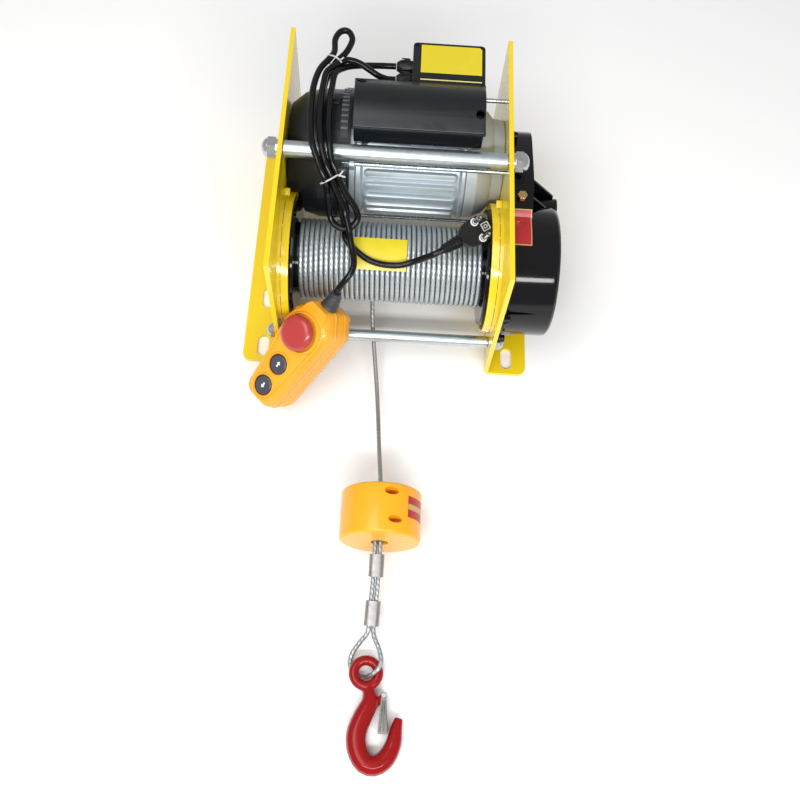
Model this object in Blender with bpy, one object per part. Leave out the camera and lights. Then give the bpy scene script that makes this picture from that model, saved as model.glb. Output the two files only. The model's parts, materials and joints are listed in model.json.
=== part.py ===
"""Electric wire rope hoist standing on its two bent feet, with its rope, limit weight and hook laid out in front.

Units are millimetres in this file and metres in the scene. X runs along the drum, Y from the hook to the back,
+Z up. The model is shifted as a whole so that the middle of its footprint is the origin.
"""

import math

import bmesh
import bpy
from mathutils import Matrix, Vector

MM = 0.001
GAP = 0.3  # clearance between pieces that touch

# Frame: two side plates bent outwards into feet
INNER_X = 120.0  # inner face of each plate
PLATE = 5.0
OUTER_X = INNER_X + PLATE
PLATE_LENGTH = 312.0
PLATE_HEIGHT = 220.0
FOOT_X = 170.0  # outer edge of each foot
BEND = 4.0
SLOT_X = 147.0
SLOT_WIDTH = 13.5
SLOT_LENGTH = 28.0
SLOT_Y = (20.0, 86.0, 226.0, 292.0)

# Axes, as (Y, Z)
DRUM = (83.5, 105.0)
MOTOR = (199.5, 145.5)
UPPER_TIE = (153.5, 208.0)
LOWER_TIE = (22.0, 42.0)

# Drum and rope
ROPE = 5.0  # wire rope diameter
BARREL_R = 40.0
WOUND_R = BARREL_R + ROPE
FLANGE_R = 65.5
WIND_X = 104.0  # inner face of each drum flange
GUARD_R = 73.0
GUARD_X = 108.0  # free edge of the band around each flange

# Gear train: teeth and modules
PINION_TEETH = 11
IDLER_TEETH = 96
IDLER_MODULE = 1.0
IDLER_PINION_TEETH = 13
DRUM_TEETH = 80
DRUM_MODULE = 1.5
COVER_R = 73.0
COVER_X = 183.0
LUG_X = COVER_X + 2.0  # face of the boss over the idler shaft

# Motor
BODY_R = 64.0
FAN_COVER_R = 71.0
STUD_R = 68.6  # circle that the four motor studs stand on

# Hook end of the rope
WEIGHT_R = 43.5
WEIGHT_BACK_Y = -171.0
WEIGHT_FRONT_Y = -226.0
WEIGHT_AXIS = (5.0, WEIGHT_R)  # X, Z
HOOK_Z = 11.0
HOOK_END_Y = -456.9

CORD = 7.0  # mains lead and pendant cable

CENTRE = Vector(((LUG_X - FOOT_X) / 2, (PLATE_LENGTH + HOOK_END_Y) / 2, 0.0))

YELLOW = ("yellow_paint", (0.80, 0.62, 0.02), 0.3, 0.0)
BLACK_GLOSS = ("black_gloss", (0.012, 0.012, 0.014), 0.25, 0.0)
BLACK_PLASTIC = ("black_plastic", (0.02, 0.02, 0.022), 0.5, 0.0)
ALUMINIUM = ("cast_aluminium", (0.62, 0.64, 0.66), 0.4, 1.0)
ZINC = ("zinc_plate", (0.62, 0.64, 0.64), 0.32, 1.0)
STEEL = ("bright_steel", (0.45, 0.46, 0.47), 0.35, 1.0)
WIRE = ("galvanised_wire", (0.40, 0.42, 0.42), 0.45, 1.0)
IRON = ("dark_iron", (0.08, 0.08, 0.085), 0.5, 0.6)
COPPER = ("copper_wire", (0.65, 0.28, 0.12), 0.4, 1.0)
BRASS = ("brass", (0.70, 0.48, 0.18), 0.3, 1.0)
ORANGE = ("orange_plastic", (0.90, 0.42, 0.02), 0.4, 0.0)
RED_PAINT = ("red_paint", (0.42, 0.01, 0.015), 0.3, 0.0)
RED_PLASTIC = ("red_plastic", (0.60, 0.02, 0.02), 0.35, 0.0)
GREY_RUBBER = ("grey_rubber", (0.12, 0.12, 0.13), 0.6, 0.0)
BLACK_RUBBER = ("black_rubber", (0.015, 0.015, 0.016), 0.45, 0.0)


# ---------------------------------------------------------------- building blocks


def clear_scene():
    for obj in list(bpy.data.objects):
        bpy.data.objects.remove(obj, do_unlink=True)


def look(finish):
    name, colour, roughness, metallic = finish
    mat = bpy.data.materials.get(name)
    if mat is None:
        mat = bpy.data.materials.new(name)
        mat.use_nodes = True
        shader = mat.node_tree.nodes["Principled BSDF"]
        shader.inputs["Base Color"].default_value = (*colour, 1.0)
        shader.inputs["Roughness"].default_value = roughness
        shader.inputs["Metallic"].default_value = metallic
    return mat


def link(name, data):
    obj = bpy.data.objects.new(name, data)
    bpy.context.scene.collection.objects.link(obj)
    return obj


def empty(name, place, parent, matrix=None):
    """An empty at a place given in millimetres in its parent's frame."""
    obj = link(name, None)
    obj.empty_display_size = 0.02
    if matrix is not None:
        obj.matrix_local = Matrix.Translation(Vector(place) * MM) @ matrix
    else:
        obj.location = Vector(place) * MM
    obj.parent = parent
    return obj


def solid(bm):
    """A loose mesh object from a bmesh drawn in millimetres, with its faces turned outwards."""
    bmesh.ops.scale(bm, vec=(MM, MM, MM), verts=bm.verts)
    bmesh.ops.remove_doubles(bm, verts=bm.verts, dist=1e-7)
    bmesh.ops.recalc_face_normals(bm, faces=bm.faces)
    mesh = bpy.data.meshes.new("solid")
    bm.to_mesh(mesh)
    bm.free()
    return link("solid", mesh)


def combine(target, tools, operation):
    """Boolean the tools into the target and remove them."""
    for tool in tools:
        step = target.modifiers.new("step", "BOOLEAN")
        step.operation = operation
        step.solver = "EXACT"
        step.object = tool
        graph = bpy.context.evaluated_depsgraph_get()
        result = bpy.data.meshes.new_from_object(target.evaluated_get(graph))
        target.modifiers.clear()
        target.data = weld(result)
        bpy.data.objects.remove(tool, do_unlink=True)
    return target


def weld(mesh):
    """The mesh with vertices closer than two thousandths of a millimetre merged."""
    bm = bmesh.new()
    bm.from_mesh(mesh)
    bmesh.ops.remove_doubles(bm, verts=bm.verts, dist=2e-6)
    bmesh.ops.dissolve_degenerate(bm, edges=bm.edges, dist=2e-6)
    bm.to_mesh(mesh)
    bm.free()
    return mesh


def cut(target, *tools):
    return combine(target, tools, "DIFFERENCE")


def join(target, *tools):
    return combine(target, tools, "UNION")


def piece(name, obj, finish, parent):
    """Name a finished solid, give it its material and hang it on its frame."""
    obj.name = name
    obj.data.name = name
    obj.data.materials.clear()
    obj.data.materials.append(look(finish))
    if obj.type == "MESH":
        obj.data.shade_smooth()
        obj.data.set_sharp_from_angle(angle=math.radians(35))
    obj.parent = parent
    return obj


def turned(profile, segments=32, axis="X", centre=(0.0, 0.0), phase=0.0):
    """A solid turned from a closed profile of (along, radius) points; centre is in the other two axes."""
    bm = bmesh.new()
    rings = []
    for along, radius in profile:
        if radius < 1e-6:
            rings.append([bm.verts.new(oriented(along, 0.0, 0.0, axis, centre))])
            continue
        ring = []
        for i in range(segments):
            angle = 2 * math.pi * i / segments + phase
            ring.append(bm.verts.new(oriented(along, radius * math.cos(angle), radius * math.sin(angle), axis, centre)))
        rings.append(ring)
    for a, b in zip(rings, rings[1:] + rings[:1]):
        for i in range(segments):
            j = (i + 1) % segments
            corners = [a[i % len(a)], a[j % len(a)], b[j % len(b)], b[i % len(b)]]
            corners = list(dict.fromkeys(corners))
            if len(corners) > 2:
                bm.faces.new(corners)
    return solid(bm)


def oriented(along, p, q, axis, centre):
    """The point at (along, p, q) for a shape whose long axis is the named one."""
    p += centre[0]
    q += centre[1]
    return {"X": (along, p, q), "Y": (p, along, q), "Z": (p, q, along)}[axis]


def rod(x0, x1, radius, segments=24, axis="X", centre=(0.0, 0.0), phase=0.0):
    return turned([(x0, 0), (x0, radius), (x1, radius), (x1, 0)], segments, axis, centre, phase)


def ring(x0, x1, outer, inner, segments=32, axis="X", centre=(0.0, 0.0)):
    return turned([(x0, outer), (x1, outer), (x1, inner), (x0, inner)], segments, axis, centre)


def prism(outline, x0, x1, axis="X"):
    """An outline of points in the other two axes, extruded along one axis."""
    bm = bmesh.new()
    ends = [[bm.verts.new(oriented(x, p, q, axis, (0, 0))) for p, q in outline] for x in (x0, x1)]
    bm.faces.new(ends[0])
    bm.faces.new(list(reversed(ends[1])))
    count = len(outline)
    for i in range(count):
        j = (i + 1) % count
        bm.faces.new((ends[0][i], ends[0][j], ends[1][j], ends[1][i]))
    return solid(bm)


def block(low, high):
    return prism([(low[1], low[2]), (high[1], low[2]), (high[1], high[2]), (low[1], high[2])], low[0], high[0])


def arc(centre, radius, start, stop, steps):
    """Points on a circle between two angles in degrees."""
    points = []
    for i in range(steps + 1):
        angle = math.radians(start + (stop - start) * i / steps)
        points.append((centre[0] + radius * math.cos(angle), centre[1] + radius * math.sin(angle)))
    return points


def rounded(width, height, radius, centre=(0.0, 0.0), steps=4):
    """A rectangle with rounded corners."""
    a = width / 2 - radius
    b = height / 2 - radius
    outline = []
    for quarter, (sx, sy) in enumerate(((1, 1), (-1, 1), (-1, -1), (1, -1))):
        corner = (centre[0] + sx * a, centre[1] + sy * b)
        outline += arc(corner, radius, 90 * quarter, 90 * quarter + 90, steps)
    return outline


def hull(points):
    """The convex outline around a set of points."""
    points = sorted(set((round(p, 4), round(q, 4)) for p, q in points))

    def half(run):
        kept = []
        for p in run:
            while len(kept) > 1:
                (ax, ay), (bx, by) = kept[-2], kept[-1]
                if (bx - ax) * (p[1] - ay) - (by - ay) * (p[0] - ax) > 1e-9:
                    break
                kept.pop()
            kept.append(p)
        return kept[:-1]

    return half(points) + half(points[::-1])


def gear(x0, x1, teeth, module, depth=2.0):
    """A gear blank with pointed teeth, held 0.15 mm inside its pitch circle so that tested teeth never touch."""
    tip = teeth * module / 2 - GAP / 2
    outline = []
    for i in range(2 * teeth):
        radius = tip if i % 2 else tip - depth * module / 2
        angle = math.pi * i / teeth
        outline.append((radius * math.cos(angle), radius * math.sin(angle)))
    return prism(outline, x0, x1)


def smooth(points, step):
    """A Catmull-Rom curve through the points, read at about even steps."""
    points = [Vector(p) for p in points]
    padded = [2 * points[0] - points[1], *points, 2 * points[-1] - points[-2]]
    dense = []
    for a, b, c, d in zip(padded, padded[1:], padded[2:], padded[3:]):
        for i in range(12):
            t = i / 12
            dense.append(
                0.5 * (2 * b + (c - a) * t + (2 * a - 5 * b + 4 * c - d) * t * t + (3 * b - a - 3 * c + d) * t**3)
            )
    dense.append(points[-1])
    lengths = [0.0]
    for a, b in zip(dense, dense[1:]):
        lengths.append(lengths[-1] + (b - a).length)
    count = max(2, round(lengths[-1] / step))
    even = []
    k = 0
    for i in range(count + 1):
        target = lengths[-1] * i / count
        while k < len(lengths) - 2 and lengths[k + 1] < target:
            k += 1
        span = lengths[k + 1] - lengths[k]
        even.append(dense[k].lerp(dense[k + 1], (target - lengths[k]) / span if span else 0.0))
    return even


def tube(name, points, radius, finish, parent, resolution=2, radii=None):
    """A round tube through the points, as a curve with a bevel and filled ends."""
    curve = bpy.data.curves.new(name, "CURVE")
    curve.dimensions = "3D"
    curve.bevel_depth = radius * MM
    curve.bevel_resolution = resolution
    curve.use_fill_caps = True
    line = curve.splines.new("POLY")
    line.points.add(len(points) - 1)
    for i, p in enumerate(points):
        line.points[i].co = (*(Vector(p) * MM), 1.0)
        line.points[i].radius = radii[i] / radius if radii else 1.0
    return piece(name, link(name, curve), finish, parent)


def meshed(obj):
    """A curve object turned into a mesh object, for a Boolean."""
    graph = bpy.context.evaluated_depsgraph_get()
    mesh = weld(bpy.data.meshes.new_from_object(obj.evaluated_get(graph)))
    bpy.data.objects.remove(obj, do_unlink=True)
    return link("solid", mesh)


# ---------------------------------------------------------------- frame


def side_plate(side, root):
    """A steel plate bent outwards into a slotted foot, with a short band welded on around the drum flange."""
    bend = (OUTER_X + BEND, PLATE + BEND)
    section = [(INNER_X, PLATE_HEIGHT)]
    section += arc(bend, PLATE + BEND, 180, 270, 5)
    section += [(FOOT_X, 0.0), (FOOT_X, PLATE)]
    section += arc(bend, BEND, 270, 180, 5)
    section += [(OUTER_X, PLATE_HEIGHT)]
    section = [(side * x, z) for x, z in section]
    plate = prism(section, 0.0, PLATE_LENGTH, "Y")
    for end in (0.0, PLATE_LENGTH):
        inward = 1 if end == 0.0 else -1
        corner = [(side * (FOOT_X + 1), end - inward), (side * (FOOT_X - 9), end - inward)]
        corner += [(side * x, end + inward * (9 - y)) for x, y in arc((FOOT_X - 9, 0), 9, 90, 0, 4)]
        corner += [(side * (FOOT_X + 1), end + inward * 9)]
        cut(plate, prism(corner, -1.0, PLATE + 1, "Z"))
    for y in SLOT_Y:
        outline = rounded(SLOT_WIDTH, SLOT_LENGTH, SLOT_WIDTH / 2 - 0.01, (side * SLOT_X, y))
        cut(plate, prism(outline, -1.0, PLATE + 1, "Z"))
    join(plate, ring(side * GUARD_X, side * (INNER_X + 1), GUARD_R, GUARD_R - 3.0, 48, centre=DRUM))
    holes = [(DRUM, 22.0 + GAP), (UPPER_TIE, 6.0 + GAP), (LOWER_TIE, 5.0 + GAP)]
    if side > 0:
        holes += [(MOTOR, 15.0), (idler_axis(), 8.0 + GAP)]
        holes += [(stud, 2.5 + 2 * GAP) for stud in stud_places()]
    for centre, radius in holes:
        segments = 24 if radius > 10 else 12
        cut(plate, rod(side * (GUARD_X - 1), side * (OUTER_X + 1), radius, segments, centre=centre))
    return piece("right_side_plate" if side > 0 else "left_side_plate", plate, YELLOW, root)


def tie_bar(name, centre, radius, end_radius, reach, root):
    """A spacer bar shouldered between the plates, with threaded ends."""
    shoulder = INNER_X - GAP
    profile = [(-reach, 0), (-reach, end_radius), (-shoulder, end_radius), (-shoulder, radius)]
    profile += [(-x, r) for x, r in reversed(profile)]
    return piece(name, turned(profile, 20, centre=centre), ZINC, root)


def acorn_nut(name, side, centre, bore, hexagon, length, root):
    """A domed nut on the end of a tie bar."""
    start = OUTER_X + GAP
    flat = start + 0.6 * length
    body = rod(side * (start + 2.5), side * flat, hexagon, 6, centre=centre)
    join(body, rod(side * start, side * (start + 3.0), hexagon * 0.8, 20, centre=centre))
    dome = [(flat - 1.0, 0), (flat - 1.0, hexagon * 0.84)]
    for i in range(4):
        angle = math.radians(90 * i / 4)
        dome.append((flat + (length * 0.4) * math.sin(angle), hexagon * 0.84 * math.cos(angle)))
    dome.append((start + length, 0))
    join(body, turned([(side * x, r) for x, r in dome], 16, centre=centre))
    cut(body, rod(side * (start - 1), side * (start + length * 0.7), bore + GAP, 20, centre=centre))
    return piece(name, body, ZINC, root)


def frame_parts(root):
    for side in (-1, 1):
        side_plate(side, root)
        word = "right" if side > 0 else "left"
        acorn_nut(f"upper_tie_nut_{word}", side, UPPER_TIE, 6.0, 12.5, 18.0, root)
        acorn_nut(f"lower_tie_nut_{word}", side, LOWER_TIE, 5.0, 9.5, 14.0, root)
    tie_bar("upper_tie_bar", UPPER_TIE, 9.0, 6.0, 136.0, root)
    tie_bar("lower_tie_bar", LOWER_TIE, 7.0, 5.0, 134.0, root)


# ---------------------------------------------------------------- motor


def stud_places():
    return arc(MOTOR, STUD_R, 135.6, 405.6, 3)


def motor_housing(root):
    """The finned aluminium body: a sleeve with straight ribs all round."""
    ribs = 36
    outline = []
    for i in range(ribs):
        middle = 360 * i / ribs
        for offset, radius in ((-2.9, BODY_R - 5.5), (-1.4, BODY_R), (1.4, BODY_R), (2.9, BODY_R - 5.5)):
            angle = math.radians(middle + offset)
            outline.append((MOTOR[0] + radius * math.cos(angle), MOTOR[1] + radius * math.sin(angle)))
    body = prism(outline, -43.7, 78.0)
    cut(body, rod(-50.0, 90.0, 53.5, 40, centre=MOTOR))
    return piece("motor_housing", body, ALUMINIUM, root)


def motor_shields(root):
    front = [(78.3, 62.5), (90.0, 62.0), (101.5, 56.2), (107.5, 49.2), (119.7, 48.0)]
    front += [(119.7, 16.0 + GAP), (106.0, 16.0 + GAP), (106.0, 42.0), (90.0, 55.5), (78.3, 55.5)]
    piece("motor_front_shield", turned(front, 36, centre=MOTOR), ALUMINIUM, root)
    rear = rod(-50.0, -44.0, 62.0, 36, centre=MOTOR)
    for stud in stud_places():
        root_point = (MOTOR[0] + 0.75 * (stud[0] - MOTOR[0]), MOTOR[1] + 0.75 * (stud[1] - MOTOR[1]))
        ear = hull(arc(stud, 5.4, 0, 360, 12) + arc(root_point, 11.0, 0, 360, 12))
        join(rear, prism(ear, -49.5, -44.5))
        cut(rear, rod(-52.0, -42.0, 2.5 + GAP, 10, centre=stud))
    cut(rear, rod(-52.0, -42.0, 15.0 + GAP, 24, centre=MOTOR))
    piece("motor_rear_shield", rear, ALUMINIUM, root)


def motor_studs(root):
    """Long screws that hold the motor to the right plate, with a hexagon head at the fan end."""
    for index, stud in enumerate(stud_places(), 1):
        bar = rod(-55.0, 124.0, 2.5, 10, centre=stud)
        join(bar, rod(-58.0, -50.0 - GAP, 5.0, 6, centre=stud))
        piece(f"motor_stud_{index}", bar, ZINC, root)


def fan_cover(root):
    """The plastic cowl over the fan, drawn in towards the left plate to clear the drum flange."""
    outer = [(-50.3, FAN_COVER_R), (-84.0, FAN_COVER_R), (-103.0, 66.0), (-118.0, 54.0)]
    inner = [(-49.0, FAN_COVER_R - 2), (-83.7, FAN_COVER_R - 2), (-102.3, 64.2), (-116.0, 53.2)]
    cover = turned([*outer, (-118.0, 0), (-50.3, 0)], 40, centre=MOTOR)
    cut(cover, rod(-121.0, -101.0, GUARD_R + 0.7, 64, centre=DRUM))
    hollow = turned([*inner, (-116.0, 0), (-49.0, 0)], 40, centre=MOTOR)
    cut(hollow, rod(-122.0, -99.0, GUARD_R + 2.7, 64, centre=DRUM))
    cut(hollow, rod(-130.0, -40.0, 12.0, 20, centre=UPPER_TIE))
    cut(cover, hollow, rod(-120.0, -110.0, 30.0, 32, centre=MOTOR))
    cut(cover, rod(-130.0, -40.0, 10.0, 20, centre=UPPER_TIE))
    for i in range(20):
        vent = block((-61.0, 60.0, -2.2), (-53.0, 80.0, 2.2))
        vent.matrix_world = Matrix.Translation((0, MOTOR[0] * MM, MOTOR[1] * MM)) @ Matrix.Rotation(
            2 * math.pi * i / 20, 4, "X"
        )
        cut(cover, vent)
    for stud in stud_places():
        cut(cover, rod(-59.0, -48.0, 6.0, 12, centre=stud))
    return piece("fan_cover", cover, BLACK_PLASTIC, root)


def motor_inside(root, motor):
    """Stator, bearings and brake magnet stay still; rotor, fan and brake disc turn about the motor axis."""
    piece("stator_core", ring(-25.0, 55.0, 53.2, 42.0, 32, centre=MOTOR), IRON, root)
    piece("stator_winding", ring(-37.0, 67.0, 41.7, 30.6, 28, centre=MOTOR), COPPER, root)
    piece("motor_bearing_rear", ring(-50.0, -44.5, 15.0, 7.3, 20, centre=MOTOR), STEEL, root)
    piece("motor_bearing_front", ring(107.0, 118.0, 16.0, 8.3, 20, centre=MOTOR), STEEL, root)
    piece("brake_magnet", ring(-67.0, -50.3, 40.0, 12.0, 28, centre=MOTOR), IRON, root)
    piece("brake_disc", ring(-71.0, -67.3, 38.0, 7.3, 28), IRON, motor)
    shaft = [(-96.0, 0), (-96.0, 7.0), (-44.0, 7.0), (-44.0, 8.0), (-28.0, 8.0), (-28.0, 29.5), (58.0, 29.5)]
    shaft += [(58.0, 8.0), (119.0, 8.0), (119.0, 4.3), (142.0, 4.3), (142.0, 0)]
    rotor = turned(shaft, 28)
    join(rotor, gear(128.0, 141.0, PINION_TEETH, IDLER_MODULE, 1.6))
    piece("rotor_shaft", rotor, STEEL, motor)
    blades = []
    for i in range(8):
        for offset, radius in ((-9.0, 12.0), (-1.6, 52.0), (1.6, 52.0), (9.0, 12.0)):
            angle = math.radians(45 * i + offset)
            blades.append((radius * math.cos(angle), radius * math.sin(angle)))
    fan = prism(blades, -90.0, -75.0)
    cut(fan, rod(-100.0, -60.0, 7.0 + GAP, 20))
    piece("cooling_fan", fan, BLACK_PLASTIC, motor)


# ---------------------------------------------------------------- boxes on the motor


def capacitor_box(root):
    """The capacitor's base, seated on the motor body, its curved lid, and the capacitor inside."""
    low, high = (-46.5, 170.0, 206.0), (91.5, 233.0, 228.0)
    base = block(low, high)
    cut(base, block((low[0] + 3, low[1] + 3, 213.0), (high[0] - 3, high[1] - 3, high[2] + 2)))
    cut(base, rod(-60.0, 110.0, BODY_R + GAP, 48, centre=MOTOR))
    piece("capacitor_box_base", base, BLACK_PLASTIC, root)
    piece("capacitor_box_lid", capacitor_lid(low, high), BLACK_PLASTIC, root)
    piece("run_capacitor", rod(-30.0, 62.0, 14.0, 20, centre=(201.5, 227.6)), ALUMINIUM, root)


def capacitor_lid(low, high):
    """A shell whose front and back walls run into a shallow arched top."""
    seat = high[2] + GAP
    middle = (low[1] + high[1]) / 2
    half = (high[1] - low[1]) / 2 + 1.0

    def arch(inset, drop):
        width = half - inset
        top = []
        for i in range(11):
            s = -1 + 2 * i / 10
            top.append((middle + width * s, seat + 3.0 + (14.0 - drop) * (1 - s * s)))
        return top

    outer = [(middle - half, seat), *arch(0.0, 0.0), (middle + half, seat)]
    inner = [(middle - half + 2.5, seat - 1), *arch(2.5, 2.5), (middle + half - 2.5, seat - 1)]
    lid = prism(outer, low[0] - 1.0, high[0] + 1.0)
    return cut(lid, prism(inner, low[0] + 1.5, high[0] - 1.5))


def switch_box(root):
    """The terminal box behind the capacitor, on a pedestal that sits on the motor, with its flat lid."""
    low, high = (14.0, 238.5, 198.5), (93.0, 298.0, 219.0)
    base = block(low, high)
    join(base, block((28.0, 254.0, 165.0), (80.0, 262.0, 200.0)))
    cut(base, block((low[0] + 3, low[1] + 3, low[2] + 3), (high[0] - 3, high[1] - 3, high[2] + 2)))
    cut(base, rod(0.0, 110.0, BODY_R + GAP, 48, centre=MOTOR))
    piece("switch_box_base", base, BLACK_PLASTIC, root)
    lid = prism(rounded(80.5, 61.0, 4.0, (53.5, 268.25), 2), high[2] + GAP, high[2] + 4.5, "Z")
    piece("switch_box_lid", lid, BLACK_PLASTIC, root)


def cable_gland(name, y, root):
    """A compression gland on the left wall of the terminal box, narrowing to the cable."""
    start = 14.0 - GAP
    profile = [(start, 0), (start, 7.0), (start - 3, 7.0), (start - 3, 9.0), (start - 10, 9.0)]
    profile += [(start - 10, 7.6), (start - 14, 7.2), (start - 18, 4.6), (start - 18, 0)]
    gland = turned(profile, 16, centre=(y, GLAND_Z))
    piece(name, gland, BLACK_PLASTIC, root)


# ---------------------------------------------------------------- gearbox and drum


def idler_axis():
    """The idler shaft, where its two centre distances cross above the line from drum to motor."""
    to_drum = (DRUM_TEETH + IDLER_PINION_TEETH) * DRUM_MODULE / 2
    to_motor = (PINION_TEETH + IDLER_TEETH) * IDLER_MODULE / 2
    dy, dz = MOTOR[0] - DRUM[0], MOTOR[1] - DRUM[1]
    span = math.hypot(dy, dz)
    along = (to_drum**2 - to_motor**2 + span**2) / (2 * span)
    aside = math.sqrt(max(0.0, to_drum**2 - along**2))
    return (DRUM[0] + (dy * along - dz * aside) / span, DRUM[1] + (dz * along + dy * aside) / span)


def train_outline(grow):
    """Outline around the first gear stage: a big circle at the idler and a smaller one at the motor shaft."""
    points = arc(idler_axis(), 60.0 + grow, 0, 360, 32)[:-1]
    points += arc((MOTOR[0] - 3, MOTOR[1] + 2), 38.0 + grow, 0, 360, 24)[:-1]
    return hull(points)


def can(start, end, radius, edge):
    """The round cover over the drum gear, with a rounded outer edge."""
    profile = [(start, 0), (start, radius)]
    for i in range(4):
        angle = math.radians(90 * i / 3)
        profile.append((end - edge + edge * math.sin(angle), radius - edge + edge * math.cos(angle)))
    profile.append((end, 0))
    return turned(profile, 48, centre=DRUM)


def gearbox(root, drum, idler):
    """One cast cover over both gear stages, and the gears inside."""
    face = OUTER_X + GAP
    idle = idler_axis()
    cover = prism(train_outline(0.0), face - 5.0, 151.0)
    join(cover, can(face - 4.0, COVER_X, COVER_R, 7.0))
    join(cover, can(face - 3.0, face + 4.0, COVER_R + 5.0, 0.5))
    lug = [(face + 1.0, 0), (face + 1.0, 21.5), (148.5, 21.5), (168.0, 14.5), (LUG_X, 14.0), (LUG_X, 0)]
    join(cover, turned(lug, 24, centre=idle))
    cut(cover, prism(train_outline(-4.0), face - 6.0, 144.5))
    cut(cover, can(face - 7.0, COVER_X - 4.0, COVER_R - 4.0, 4.0))
    cut(cover, rod(face - 8.0, 170.5, 11.0, 20, centre=idle))
    cut(cover, rod(160.0, 175.5, 8.0 + GAP, 16, centre=idle))
    cut(cover, block((face - 9.0, -50.0, -50.0), (face, 350.0, 300.0)))
    piece("gearbox_cover", cover, BLACK_GLOSS, root)

    plug_y = 122.5
    top = idle[1] + math.sqrt(60.0**2 - (idle[0] - plug_y) ** 2)
    head = rod(top + 2.0, top + 8.0, 5.5, 6, "Z", (138.0, plug_y))
    piece("oil_plug", head, BRASS, root)

    wheel = gear(130.0, 139.0, IDLER_TEETH, IDLER_MODULE)
    cut(wheel, rod(120.0, 150.0, 8.0 + GAP, 20))
    piece("idler_gear", wheel, STEEL, idler)
    shaft = rod(121.0, 174.5, 8.0, 20)
    join(shaft, gear(149.5, 168.0, IDLER_PINION_TEETH, DRUM_MODULE, 1.0))
    piece("idler_shaft", shaft, STEEL, idler)
    wheel = gear(151.5, 166.0, DRUM_TEETH, DRUM_MODULE)
    cut(wheel, rod(140.0, 180.0, 12.0 + GAP, 24))
    piece("drum_gear", wheel, STEEL, drum)


def drum_parts(root, drum):
    hub = 12.0 + GAP
    web = WIND_X + 3.5
    half = [(web, hub), (web, FLANGE_R), (WIND_X, FLANGE_R), (WIND_X, BARREL_R)]
    inner = [(94.0, 34.0), (94.0, hub)]
    profile = half + [(-x, r) for x, r in reversed(half)] + [(-x, r) for x, r in reversed(inner)] + inner
    piece("rope_drum", turned(profile, 48), BLACK_GLOSS, drum)
    winding = ring(-WIND_X + GAP, WIND_X - GAP, WOUND_R, BARREL_R + GAP, 48)
    piece("rope_winding", winding, WIRE, drum)
    shaft = rod(-128.0, 172.0, 12.0, 24)
    piece("drum_shaft", shaft, STEEL, drum)
    for side, word in ((-1, "left"), (1, "right")):
        bearing = ring(side * 114.0, side * 126.0 if side < 0 else OUTER_X, 22.0, hub, 24, centre=DRUM)
        piece(f"drum_bearing_{word}", bearing, STEEL, root)


# ---------------------------------------------------------------- rope end

ROPE_ROUTE = [  # from the underside of the drum, under the lower tie bar, up into the limit weight
    (-18.4, 84.0, 57.0),
    (-18.2, 72.0, 53.0),
    (-17.6, 58.0, 46.0),
    (-16.2, 40.0, 37.0),
    (-13.8, 20.0, 28.5),
    (-10.5, -5.0, 21.0),
    (-7.0, -35.0, 17.0),
    (-4.0, -68.0, 19.0),
    (-1.8, -98.0, 26.0),
    (0.2, -125.0, 34.6),
    (2.4, -150.0, 40.8),
    (4.0, -172.0, 43.0),
    (5.0, -205.0, 43.2),
]

EYE_ROUTE = [  # from inside the weight down through both ferrules, round through the hook's eye, and back
    (6.0, -205.4, 43.2),
    (6.0, -226.0, 41.6),
    (6.1, -250.0, 36.0),
    (5.4, -275.0, 29.7),
    (4.0, -300.0, 23.3),
    (4.2, -318.0, 20.0),
    (10.5, -333.0, 19.6),
    (13.4, -344.0, 20.2),
    (11.5, -352.0, 19.8),
    (6.0, -357.8, 17.6),
    (1.0, -360.4, 12.6),
    (-3.0, -360.8, 7.4),
    (-9.0, -359.0, 3.6),
    (-15.0, -354.8, 2.7),
    (-19.0, -347.0, 3.2),
    (-17.0, -337.0, 6.6),
    (-9.5, -326.0, 13.0),
    (-2.0, -316.0, 19.2),
    (-1.4, -300.0, 23.3),
    (0.0, -275.0, 29.7),
    (0.7, -250.0, 36.0),
    (0.6, -226.0, 41.6),
    (-0.4, -212.0, 42.6),
]

HOOK_ROUTE = [  # centre line of the hook from its neck to its tip, with the radius of the bar
    (0.5, -370.0, 5.2),
    (3.2, -377.0, 7.6),
    (4.0, -386.0, 9.2),
    (-2.0, -399.0, 10.2),
    (-7.8, -416.0, 10.8),
    (-6.2, -432.0, 10.9),
    (2.0, -444.5, 10.9),
    (13.5, -446.0, 10.6),
    (24.0, -438.0, 9.8),
    (30.2, -424.0, 8.6),
    (32.2, -411.0, 6.6),
    (34.6, -400.0, 4.4),
]


def ferrule(name, y0, y1, root):
    """A pressed oval sleeve around the two strands between two stations of the rope eye."""
    strands = smooth(EYE_ROUTE, 2.0)
    down = [p for p in strands[: len(strands) // 2] if y1 <= p.y <= y0]
    up = [p for p in strands[len(strands) // 2 :] if y1 <= p.y <= y0]
    middle = [(down[0] + up[-1]) / 2, (down[-1] + up[0]) / 2]
    axis = (middle[1] - middle[0]).normalized()
    length = (middle[1] - middle[0]).length
    sleeve = prism(rounded(16.0, 10.5, 5.2, steps=4), 0.0, length, "Z")
    bore = prism(rounded(12.2, 6.2, 3.05, steps=4), -1.0, length + 1, "Z")
    cut(sleeve, bore)
    across = (down[0] - up[-1]).normalized()
    third = axis.cross(across).normalized()
    turn = Matrix((third.cross(axis), third, axis)).transposed().to_4x4()
    sleeve.matrix_world = Matrix.Translation(middle[0] * MM) @ turn
    return piece(name, sleeve, ALUMINIUM, root)


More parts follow.
